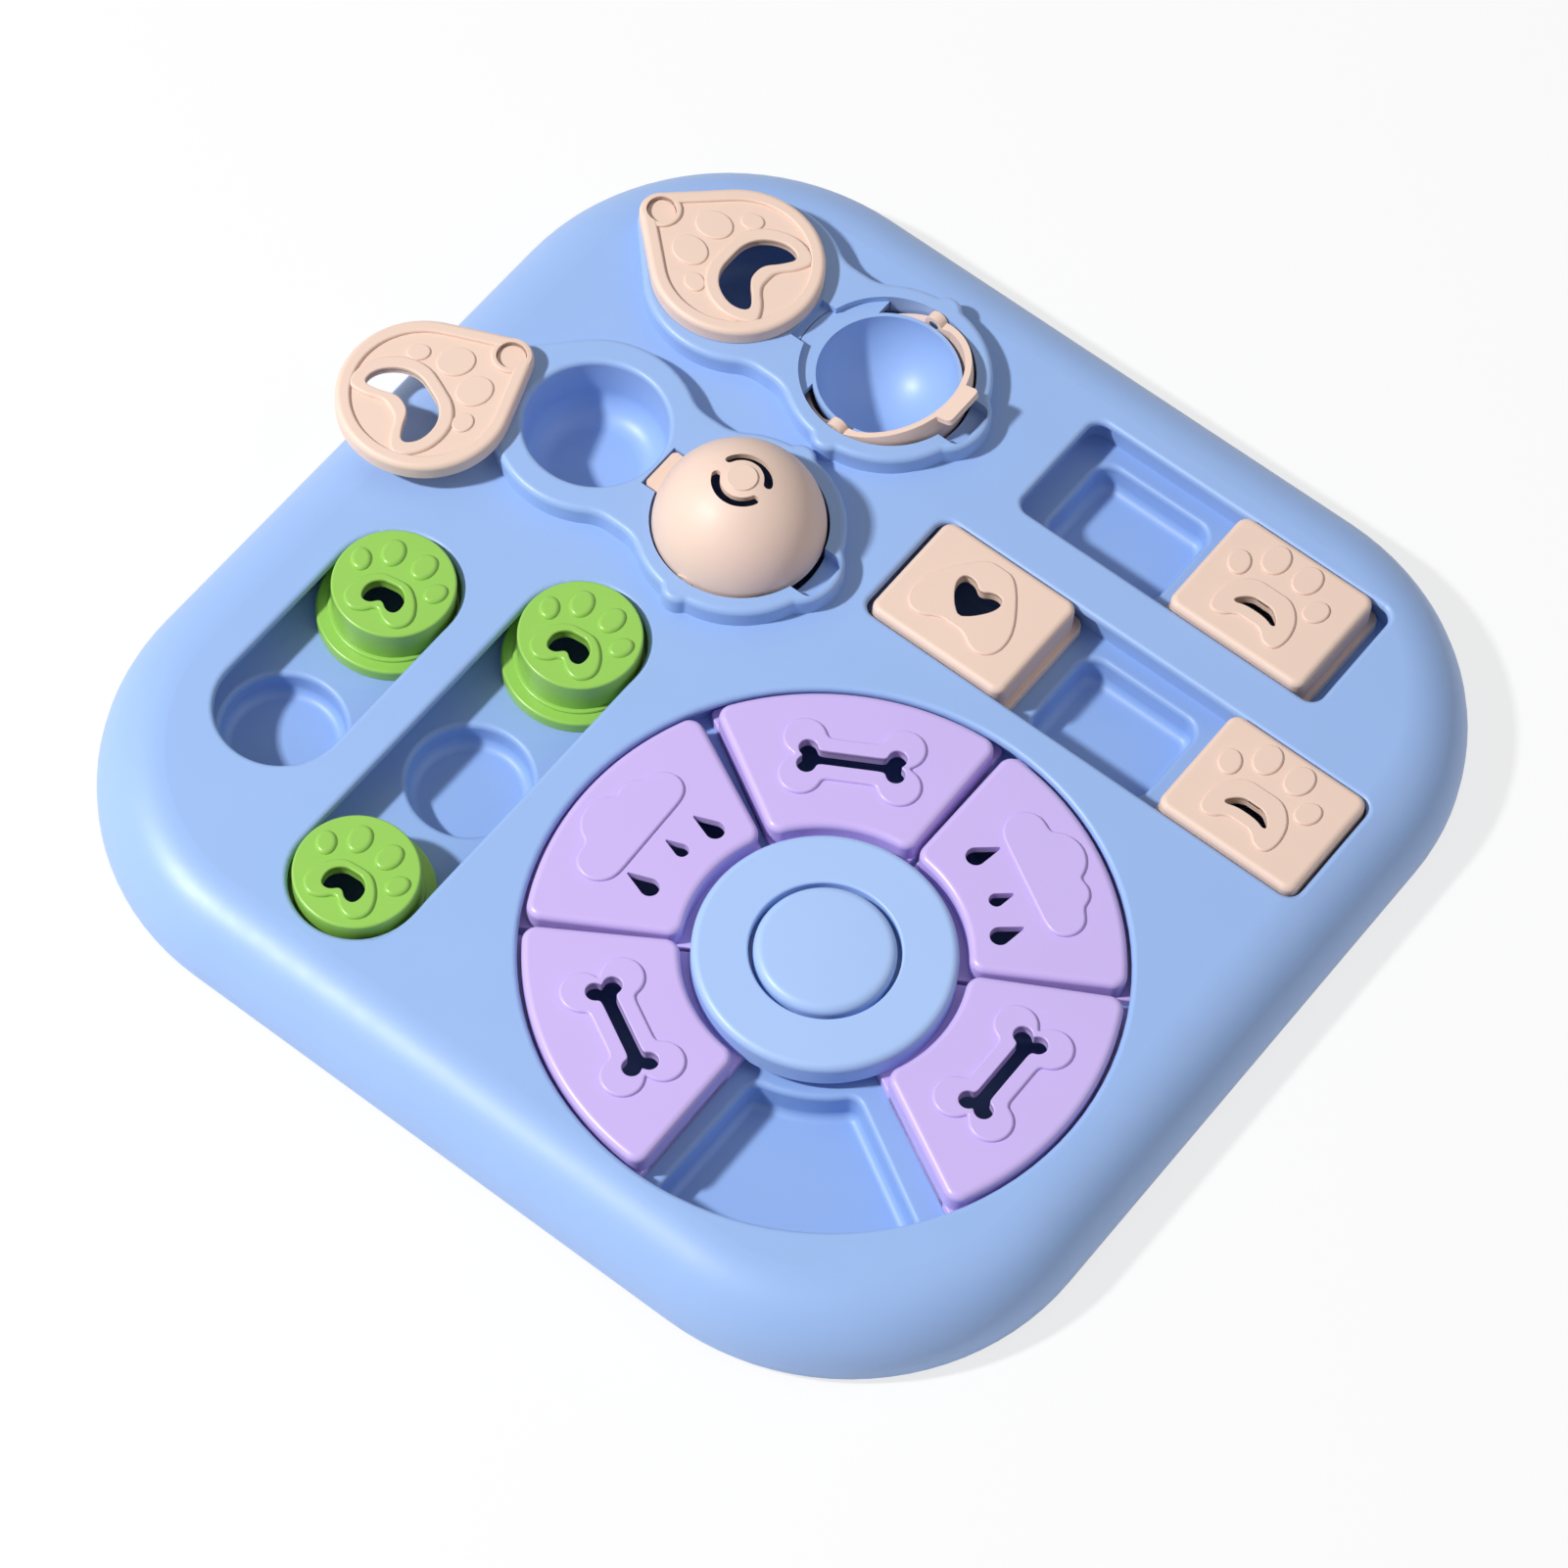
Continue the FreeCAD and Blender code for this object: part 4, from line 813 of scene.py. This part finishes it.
@dataclass
class Pucks:
    """Green round pucks with a paw and a hole in its pad."""

    turns: tuple[tuple[str, float], ...] = (
        ("puck_short", 10.0), ("puck_long_upper", 6.0), ("puck_long_lower", 4.0))
    body_radius: float = 16.6
    rounding: float = 0.7
    skin: float = 2.6
    wall: float = 2.2
    foot_radius: float = 20.9
    foot_height: float = 3.7
    foot_rounding: float = 0.8
    step_width: float = 1.1
    step_height: float = 0.8
    step_rounding: float = 0.6
    cad_rise: float = 0.7
    pad: tuple[Point, ...] = (
        (0, 1.4), (4.6, 1.2), (9.0, -3.4), (10.6, -9.2), (7.0, -13.0), (2.8, -11.9), (0, -8.7))
    hole: tuple[Point, ...] = ((0, -0.8), (3.0, -0.9), (5.9, -3.9), (5.5, -8.3), (2.6, -8.9), (0, -6.2))
    toes: tuple[Toe, ...] = (Toe(4.65, 7.9, 3.4, 4.4, 10.0), Toe(11.2, 2.2, 2.9, 3.7, 28.0))
    pad_relief: Relief = Relief(1.0, 0.9, 0.45)
    toe_relief: Relief = Relief(1.0, 1.3)

    def model(self, bottom: float, top: float) -> bpy.types.Object:
        """Model one puck about its own axis.

        Args:
            bottom: Height of its underside in millimetres.
            top: Height of its flat top.

        Returns:
            The puck.
        """
        body = Bench.plate("puck_pattern", Outline.disc(self.body_radius, LARGE), bottom, top)
        Bench.round_rim(body, top, self.rounding, 4)
        inner = self.body_radius - self.wall
        Bench.hollow(body, Outline.disc(inner, HIDDEN), bottom, top - self.skin)
        ledge = bottom + self.foot_height
        foot = Bench.collar(
            "foot", Outline.disc(self.foot_radius, LARGE), Outline.disc(inner + APART, HIDDEN),
            bottom, ledge, self.foot_rounding)
        step = Bench.collar(
            "step", Outline.disc(self.body_radius + self.step_width, LARGE),
            Outline.disc(inner + 2 * APART, HIDDEN), bottom, ledge + self.step_height, self.step_rounding)
        pad = self.pad_relief.opened(
            body, "pad", Outline.soft(self.pad), Outline.soft(self.hole), bottom, top)
        return Bench.join([body, foot, step, pad] + toe_pads(self.toes, self.toe_relief, top))

    def build(self) -> None:
        """Model the puck once and put a copy of it in each place."""
        bottom, top = heights("puck_short")
        pattern = self.model(bottom, top - self.cad_rise)
        for node, turn in self.turns:
            puck = Bench.copy(pattern, f"{node}_moulding")
            Bench.hand_over(puck, node, node, Slot.PUCK, middle(node), turn)
        bpy.data.objects.remove(pattern)


@dataclass
class Sliders:
    """Pink block sliders with a paw or a heart."""

    half_x: float = 21.7
    half_y: float = 17.8
    corner: float = 3.4
    shoulder: float = 1.9
    foot_x: float = 23.2
    foot_y: float = 19.8
    foot_height: float = 3.0
    foot_rounding: float = 0.6
    skin: float = 2.8
    wall: float = 2.2
    hollow_corner: float = 1.5
    cad_rise: float = 0.7
    shift: float = -1.1
    relief: Relief = Relief(0.7, 0.6)
    pad: tuple[Point, ...] = (
        (0, 2.9), (6.0, 2.9), (10.6, -1.8), (12.0, -8.0), (10.6, -12.8), (6.6, -12.6), (4.0, -9.6), (0, -9.6))
    crescent: tuple[Point, ...] = ((0, -2.4), (3.4, -2.4), (6.7, -5.6), (6.3, -7.1), (3.4, -6.0), (0, -5.8))
    toes: tuple[Toe, ...] = (Toe(5.1, 10.6, 3.9, 4.9, 5.0), Toe(12.5, 4.0, 3.2, 4.0, 22.0))
    triangle: tuple[Point, ...] = (
        (0, 13.8), (4.4, 13.6), (9.6, 7.6), (14.6, -0.6), (15.2, -7.4), (12.4, -11.4), (8.0, -11.6),
        (4.0, -8.7), (0, -8.7))
    heart_hole: tuple[Point, ...] = (
        (0, 3.9), (3.0, 6.4), (6.6, 6.0), (6.9, 2.2), (3.6, -2.6), (0.8, -5.0), (0, -5.0))

    def hollow_outline(self, spare: float) -> list[Point]:
        """Outline of the space inside the block's walls, widened by a spare."""
        inset = self.wall - spare
        return Outline.rounded_rectangle(self.half_x - inset, self.half_y - inset, self.hollow_corner)

    def block(self, bottom: float, top: float) -> tuple[bpy.types.Object, bpy.types.Object]:
        """Model the plain block and its foot.

        Args:
            bottom: Height of its underside in millimetres.
            top: Height of its flat top.

        Returns:
            The block and the foot.
        """
        outline = Outline.rounded_rectangle(self.half_x, self.half_y, self.corner)
        body = Bench.plate("slider_pattern", outline, bottom, top)
        Bench.round_rim(body, top, self.shoulder, 5)
        Bench.hollow(body, self.hollow_outline(0.0), bottom, top - self.skin)
        foot = Bench.collar(
            "foot", Outline.rounded_rectangle(self.foot_x, self.foot_y, self.corner),
            self.hollow_outline(APART), bottom, bottom + self.foot_height, self.foot_rounding)
        return body, foot

    def motif(self, half: tuple[Point, ...]) -> list[Point]:
        """Soft mirrored outline in the motif's place on the block."""
        return Outline.moved(Outline.soft(half), self.shift, 0.0)

    def paw(self, body: bpy.types.Object, bottom: float, top: float) -> bpy.types.Object:
        """Add the paw and its crescent hole to a block.

        Args:
            body: Block without a motif.
            bottom: Height of its underside in millimetres.
            top: Height of its flat top.

        Returns:
            The block with its paw.
        """
        pad = self.relief.opened(body, "pad", self.motif(self.pad), self.motif(self.crescent), bottom, top)
        return Bench.join([body, pad] + toe_pads(self.toes, self.relief, top, self.shift))

    def heart(self, body: bpy.types.Object, bottom: float, top: float) -> bpy.types.Object:
        """Add the rounded triangle and its heart shaped hole to a block."""
        outlines = self.motif(self.triangle), self.motif(self.heart_hole)
        return Bench.join([body, self.relief.opened(body, "pad", *outlines, bottom, top)])

    def build(self) -> None:
        """Model the block once and put a copy with its motif in each place."""
        dress = {"paw_slider_short": self.paw, "paw_slider_long": self.paw, "heart_slider": self.heart}
        bottom, top = heights("heart_slider")
        top -= self.cad_rise
        pattern, foot = self.block(bottom, top)
        for node, motif in dress.items():
            slider = motif(Bench.copy(pattern, f"{node}_moulding"), bottom, top)
            Bench.join([slider, Bench.copy(foot, "foot")])
            Bench.hand_over(slider, node, node, Slot.SLIDER, middle(node))
        bpy.data.objects.remove(pattern)
        bpy.data.objects.remove(foot)


@dataclass
class Wedges:
    """Purple ring wedges: three with a bone, two with a cloud and drops."""

    centre: Point = (51.0, -51.0)
    turns: tuple[float, ...] = (0.7, 60.4, 120.6, 182.2, 241.8)
    inner: float = 37.0
    outer: float = 77.5
    span: float = 58.0
    corner: float = 4.0
    shoulder: float = 2.0
    flange_inner: float = 31.5
    flange_outer: float = 80.5
    flange_height: float = 3.0
    flange_rounding: float = 0.5
    wall: float = 2.2
    skin: float = 2.6
    cad_rise: float = 0.7
    relief: Relief = Relief(0.9, 0.7)
    bone_radius: float = 56.4
    bone_size: tuple[float, ...] = (6.2, 5.9, 13.0, 5.6)  # half shaft, lobe, along and across
    bone_hole: tuple[float, ...] = (2.0, 2.6, 11.7, 2.4)
    puffs: tuple[tuple[float, float, float], ...] = (
        (61.0, -13.5, 5.5), (65.0, -7.5, 5.3), (65.2, 3.0, 8.5), (61.8, 13.5, 6.0))
    bar: tuple[float, float] = (60.2, 4.7)  # radius from the hub and half width
    bar_step: float = 1.5
    bar_circles: int = 9
    cloud_centre: Point = (60.5, 0.0)
    cloud_foot: float = 55.5
    cloud_points: int = 160
    cloud_easing: int = 3
    drops: tuple[tuple[float, ...], ...] = (  # round end, side, size and tip
        (43.5, -12.0, 2.6, 50.0), (46.8, -2.0, 1.9, 51.5), (47.0, 11.7, 2.6, 53.7))
    drop_tip: float = 0.3
    drop_steps: int = 36
    drop_rim: float = 0.25

    def hollow_outline(self, spare: float) -> list[Point]:
        """Outline of the space inside the wedge's walls, widened by a spare on its arcs."""
        return Outline.sector(
            self.inner + self.wall + spare, self.outer - self.wall - spare, self.span, HOLLOW_CORNER,
            self.wall + spare)

    def blank(self, bottom: float, top: float) -> tuple[bpy.types.Object, bpy.types.Object]:
        """Model the plain wedge and its flange about +X.

        Args:
            bottom: Height of its underside in millimetres.
            top: Height of its flat top.

        Returns:
            The wedge without a motif, and the flange.
        """
        outline = Outline.sector(self.inner, self.outer, self.span, self.corner)
        body = Bench.plate("wedge_pattern", outline, bottom, top)
        Bench.round_rim(body, top, self.shoulder, 5)
        Bench.hollow(body, self.hollow_outline(0.0), bottom, top - self.skin)
        flange = Bench.collar(
            "foot", Outline.sector(self.flange_inner, self.flange_outer, self.span, HOLLOW_CORNER),
            self.hollow_outline(APART), bottom, bottom + self.flange_height, self.flange_rounding)
        return body, flange

    def bone(self, body: bpy.types.Object, bottom: float, top: float) -> bpy.types.Object:
        """Add the raised bone with its bone shaped hole.

        Args:
            body: Wedge without a motif.
            bottom: Height of its underside in millimetres.
            top: Height of its flat top.

        Returns:
            The wedge with its bone.
        """
        shape = Outline.moved(Outline.bone(*self.bone_size), self.bone_radius, 0)
        hole = Outline.moved(Outline.bone(*self.bone_hole), self.bone_radius, 0)
        return Bench.join([body, self.relief.opened(body, "bone", shape, hole, bottom, top)])

    def cloud(self, body: bpy.types.Object, bottom: float, top: float) -> bpy.types.Object:
        """Add the raised cloud and the three drop shaped holes below it.

        Args:
            body: Wedge without a motif.
            bottom: Height of its underside in millimetres.
            top: Height of its flat top.

        Returns:
            The wedge with its cloud and drops.
        """
        pad = self.relief.pad("cloud", self.cloud_outline(), top)
        for round_end, side, size, tip in self.drops:
            drop = Outline.teardrop(self.drop_tip, tip - round_end, size, self.drop_steps)
            drop = Outline.moved(drop, tip, side, 180.0)
            pierce([body], drop, bottom, top)
            Bench.round_rim(body, top, self.drop_rim, 2, within(drop))
        return Bench.join([body, pad])

    def cloud_outline(self) -> list[Point]:
        """Trace round the cloud's puffs and its long bar, with a straight foot.

        Returns:
            The outline.
        """
        bar_x, bar_radius = self.bar
        steps = range(-self.bar_circles, self.bar_circles + 1)
        circles = self.puffs + tuple((bar_x, step * self.bar_step, bar_radius) for step in steps)
        centre = Vector(self.cloud_centre)
        points = []
        for step in range(self.cloud_points):
            angle = math.tau * step / self.cloud_points
            way = Vector((math.cos(angle), math.sin(angle)))
            reach = 1.0
            for x, y, radius in circles:
                offset = Vector((x, y)) - centre
                along = offset.dot(way)
                across = offset.length_squared - along * along
                if across < radius * radius:
                    reach = max(reach, along + math.sqrt(radius * radius - across))
            if way.x < 0.0:
                reach = min(reach, (centre.x - self.cloud_foot) / -way.x)
            points.append((centre.x + reach * way.x, centre.y + reach * way.y))
        return Outline.eased(points, self.cloud_easing)

    def build(self) -> None:
        """Model one wedge of each kind and put copies of them round the hub."""
        bottom, top = heights("ring_wedge_1")
        top -= self.cad_rise
        blank, flange = self.blank(bottom, top)
        bone = self.bone(Bench.copy(blank, "bone_pattern"), bottom, top)
        bone = Bench.join([bone, Bench.copy(flange, "foot")])
        cloud = Bench.join([self.cloud(blank, bottom, top), flange])
        for index, turn in enumerate(self.turns):
            node = f"ring_wedge_{index + 1}"
            wedge = Bench.copy(cloud if index % 2 else bone, f"{node}_moulding")
            Bench.hand_over(wedge, node, node, Slot.WEDGE, self.centre, turn)
        bpy.data.objects.remove(bone)
        bpy.data.objects.remove(cloud)


@dataclass
class Hub:
    """Blue hub ring and the push button in its middle."""

    centre: Point = (51.0, -51.0)
    radius: float = 34.4
    radius_steps: int = 180
    shoulder: float = 2.2
    hole: float = 19.7
    hole_rounding: float = 0.7
    cavity: float = 24.5
    ceiling: float = 4.6
    button: float = 18.5
    button_shoulder: float = 2.6
    collar: float = 23.0
    collar_steps: int = 72
    collar_rounding: float = 0.3
    collar_gap: float = 0.3
    crown: float = 0.35
    crown_rings: int = 6

    def build(self) -> None:
        """Model the hub ring and the button."""
        self.ring()
        self.push_button()

    def ring(self) -> None:
        """Model the ring with its hole and the wider space under it."""
        bottom, top = heights("hub_cap")
        ring = Bench.plate("hub_moulding", Outline.disc(self.radius, self.radius_steps), bottom, top)
        Bench.round_rim(ring, top, self.shoulder, 6)
        hole = Outline.disc(self.hole, LARGE)
        pierce([ring], hole, bottom, top)
        Bench.round_rim(ring, top, self.hole_rounding, 4, within(hole))
        Bench.hollow(ring, Outline.disc(self.cavity, HIDDEN), bottom, top - self.ceiling)
        Bench.hand_over(ring, "hub_cap", "base", Slot.HUB, self.centre)

    def push_button(self) -> None:
        """Model the button with its round shoulder, low crown and collar."""
        bottom, top = heights("center_button")
        button = Bench.plate("button_moulding", Outline.disc(self.button, LARGE), bottom, top)
        Bench.round_rim(button, top, self.button_shoulder, 8)
        self.raise_crown(button)
        stop = heights("hub_cap")[1] - self.ceiling - self.collar_gap
        collar = Bench.plate("collar", Outline.disc(self.collar, self.collar_steps), bottom, stop)
        Bench.round_rim(collar, stop, self.collar_rounding, 2)
        button = Bench.join([button, collar])
        Bench.hand_over(button, "center_button", "center_button", Slot.HUB, self.centre)

    def crown_height(self, share: float) -> float:
        """Height of the crown at a share of the way in from its edge, in millimetres."""
        return self.crown * share * (2.0 - share)

    def raise_crown(self, button: bpy.types.Object) -> None:
        """Inset the flat top into rings and lift them to a low crown.

        Args:
            button: Button with a flat top.
        """
        Bench.pick(button)
        mesh = button.data
        Bench.unmark(mesh)
        cap = max(mesh.polygons, key=lambda face: face.center.z)
        cap.select = True
        bpy.context.tool_settings.mesh_select_mode = (False, False, True)
        bpy.ops.object.mode_set(mode="EDIT")
        width = (self.button - self.button_shoulder) / self.crown_rings
        for ring in range(1, self.crown_rings):
            lift = self.crown_height(ring / self.crown_rings)
            lift -= self.crown_height((ring - 1) / self.crown_rings)
            bpy.ops.mesh.inset(thickness=width * MM, depth=lift * MM)
        bpy.ops.object.mode_set(mode="OBJECT")


@dataclass
class SwivelCovers:
    """Pink teardrop covers with a border, a paw and an eyelet."""

    pivots: tuple[tuple[str, float, float, float], ...] = (  # node, x, y and turn
        ("swivel_cover_back", -120.2, 97.2, 0.0), ("swivel_cover_front", -121.6, 34.6, -113.0))
    eye: float = 6.0
    offset: float = 26.3
    radius: float = 23.8
    border: float = 4.0
    recess: float = 1.0
    shoulder: float = 1.6
    dish_rounding: float = 0.6
    skin: float = 1.8
    motif_turn: float = -90.0
    lip: tuple[Point, ...] = (
        (0, 36.5), (3.6, 36.9), (7.6, 41.0), (13.4, 43.4), (16.8, 34.6), (13.8, 25.4), (7.4, 20.8), (0, 20.6))
    hole: tuple[Point, ...] = (
        (0, 32.3), (3.2, 32.9), (6.6, 36.4), (11.0, 39.2), (12.9, 34.0), (10.4, 27.8), (5.6, 24.4), (0, 24.2))
    toes: tuple[Toe, ...] = (Toe(5.3, 14.0, 4.5, 5.4, 8.0), Toe(12.7, 21.4, 2.7, 3.3, 20.0))
    lip_relief: Relief = Relief(1.0, 0.9, 0.5)
    toe_relief: Relief = Relief(0.6, 0.5)
    eyelet: float = 5.6
    eyelet_relief: Relief = Relief(0.9, 0.5, 0.3, rim_faces=2)
    counterbore: float = 4.1
    bore_floor: float = 1.5
    pin_hole: float = 2.3
    pin_hole_steps: int = 32

    def model(self, bottom: float, top: float) -> bpy.types.Object:
        """Model the cover about its pivot, along +X.

        Args:
            bottom: Height of its underside in millimetres.
            top: Height of its border.

        Returns:
            The cover.
        """
        floor = top - self.recess
        outline = Outline.teardrop(self.eye, self.offset, self.radius)
        body = Bench.plate("cover_pattern", outline, bottom, top)
        Bench.round_rim(body, top, self.shoulder, 5)
        inner = self.radius - self.border
        dish = Outline.teardrop(self.eye - self.border, self.offset, inner)
        Bench.cut(body, Bench.plate("dish", dish, floor, top + OVER))
        Bench.round_rim(body, top, self.dish_rounding, 3, within(dish))
        Bench.hollow(body, Outline.oval(self.offset, 0, inner, inner), bottom, floor - self.skin)
        shapes = [Outline.moved(Outline.soft(half), 0, 0, self.motif_turn) for half in (self.lip, self.hole)]
        lip = self.lip_relief.opened(body, "lip", *shapes, bottom, floor)
        toes = toe_pads(self.toes, self.toe_relief, floor, turn=self.motif_turn)
        bore = Outline.disc(self.counterbore)
        ring = self.eyelet_relief.opened(
            body, "eyelet", Outline.disc(self.eyelet), bore, bottom + self.bore_floor + UNDER, floor)
        pierce([body], Outline.disc(self.pin_hole, self.pin_hole_steps), bottom, floor)
        return Bench.join([body, lip, ring] + toes)

    def build(self) -> None:
        """Model the cover once and put a copy on each pivot."""
        pattern = self.model(*heights("swivel_cover_back"))
        for node, x, y, turn in self.pivots:
            cover = Bench.copy(pattern, f"{node}_moulding")
            Bench.hand_over(cover, node, node, Slot.SWIVEL, (x, y), turn)
        bpy.data.objects.remove(pattern)


class Dressing:
    """Finishes for the CAD nodes that stay as they are."""

    def dress(self) -> None:
        """Give each shown CAD node the finish of its slot in the record."""
        slots = {part["node"]: Slot(part["material_slot"]) for part in frame["record"]["subparts"]}
        for node, piece in frame["nodes"].items():
            if piece.hide_render:
                continue
            piece.data.materials.clear()
            piece.data.materials.append(FINISHES[slots[node]].material())
            log.info("%s: %s", node, slots[node].value)


@dataclass
class Studio:
    """Camera, lamps, plain floor and white background."""

    target: tuple[float, float, float] = (0.0122, -0.0182, 0.025)
    azimuth: float = 33.94
    elevation: float = 59.98
    roll: float = 4.54
    distance: float = 1.640
    lens: float = 145.3
    key_place: tuple[float, float, float] = (-1.08, -1.18, 1.75)
    key_size: float = 0.16
    key_energy: float = 56.0
    fill_place: tuple[float, float, float] = (1.3, 0.9, 1.7)
    fill_size: float = 1.6
    fill_energy: float = 6.0
    world_level: float = 0.26
    floor_size: float = 14.0
    floor_drop: float = 0.0002
    floor_tone: float = 0.86
    floor_roughness: float = 0.9
    floor_glow: float = 0.75
    sensor: float = 36.0

    def camera(self) -> None:
        """Set up the camera at the photograph's viewing angle."""
        azimuth, elevation, roll = map(math.radians, (self.azimuth, self.elevation, self.roll))
        level = math.cos(elevation)
        back = Vector((math.sin(azimuth) * level, -math.cos(azimuth) * level, math.sin(elevation)))
        right = Vector((math.cos(azimuth), math.sin(azimuth), 0.0))
        up = back.cross(right)
        across = right * math.cos(roll) + up * math.sin(roll)
        upward = up * math.cos(roll) - right * math.sin(roll)
        bpy.ops.object.camera_add()
        camera = bpy.context.active_object
        camera.name = "photo_camera"
        place = Vector(self.target) + back * self.distance
        turned = Matrix((across, upward, back)).transposed()
        camera.matrix_world = Matrix.Translation(place) @ turned.to_4x4()
        camera.data.sensor_width = self.sensor
        camera.data.lens = self.lens
        camera.data.dof.use_dof = False
        bpy.context.scene.camera = camera

    def lamp(self, name: str, place: tuple[float, float, float], size: float, energy: float) -> None:
        """Add a square area lamp that points at the target.

        Args:
            name: Name of the lamp.
            place: Place in metres.
            size: Side length in metres.
            energy: Power in watts.
        """
        bpy.ops.object.light_add(type="AREA", location=place)
        lamp = bpy.context.active_object
        lamp.name = name
        lamp.data.size = size
        lamp.data.energy = energy
        way = Vector(self.target) - Vector(place)
        lamp.rotation_euler = way.to_track_quat("-Z", "Y").to_euler()

    def floor(self) -> None:
        """Lay the plain pale floor; seen directly it is nearly white and keeps the shadow."""
        Bench.clear()
        bpy.ops.mesh.primitive_plane_add(size=self.floor_size, location=(0.0, 0.0, -self.floor_drop))
        plane = bpy.context.active_object
        plane.name = "studio_floor"
        material = bpy.data.materials.new("studio_floor")
        material.use_nodes = True
        tree = material.node_tree
        shader = tree.nodes["Principled BSDF"]
        shader.inputs["Base Color"].default_value = (self.floor_tone, self.floor_tone, self.floor_tone, 1.0)
        shader.inputs["Roughness"].default_value = self.floor_roughness
        glow = tree.nodes.new("ShaderNodeEmission")
        mix = tree.nodes.new("ShaderNodeMixShader")
        share = math_node(tree, "MULTIPLY", shown_directly(tree), self.floor_glow)
        tree.links.new(share, mix.inputs["Fac"])
        tree.links.new(shader.outputs["BSDF"], mix.inputs[1])
        tree.links.new(glow.outputs["Emission"], mix.inputs[2])
        tree.links.new(mix.outputs["Shader"], tree.nodes["Material Output"].inputs["Surface"])
        plane.data.materials.append(material)

    def world(self) -> None:
        """Light from all round at a plain level; white where the camera sees it."""
        world = bpy.data.worlds.new("studio_world")
        bpy.context.scene.world = world
        world.use_nodes = True
        tree = world.node_tree
        soft = tree.nodes["Background"]
        soft.inputs["Strength"].default_value = self.world_level
        soft.inputs["Color"].default_value = (1.0, 1.0, 1.0, 1.0)
        white = tree.nodes.new("ShaderNodeBackground")
        white.inputs["Strength"].default_value = 1.0
        mix = tree.nodes.new("ShaderNodeMixShader")
        tree.links.new(shown_directly(tree), mix.inputs["Fac"])
        tree.links.new(soft.outputs["Background"], mix.inputs[1])
        tree.links.new(white.outputs["Background"], mix.inputs[2])
        tree.links.new(mix.outputs["Shader"], tree.nodes["World Output"].inputs["Surface"])

    def build(self) -> None:
        """Build the whole studio."""
        self.camera()
        self.world()
        self.floor()
        self.lamp("key_lamp", self.key_place, self.key_size, self.key_energy)
        self.lamp("fill_lamp", self.fill_place, self.fill_size, self.fill_energy)
        bpy.context.scene.view_settings.view_transform = "Standard"


def main() -> None:
    """Build every class in order."""
    logging.basicConfig(level=logging.INFO, format="%(name)s: %(message)s")
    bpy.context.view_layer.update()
    Pucks().build()
    Sliders().build()
    Wedges().build()
    Hub().build()
    SwivelCovers().build()
    Dressing().dress()
    Studio().build()


if __name__ == "__main__":
    main()
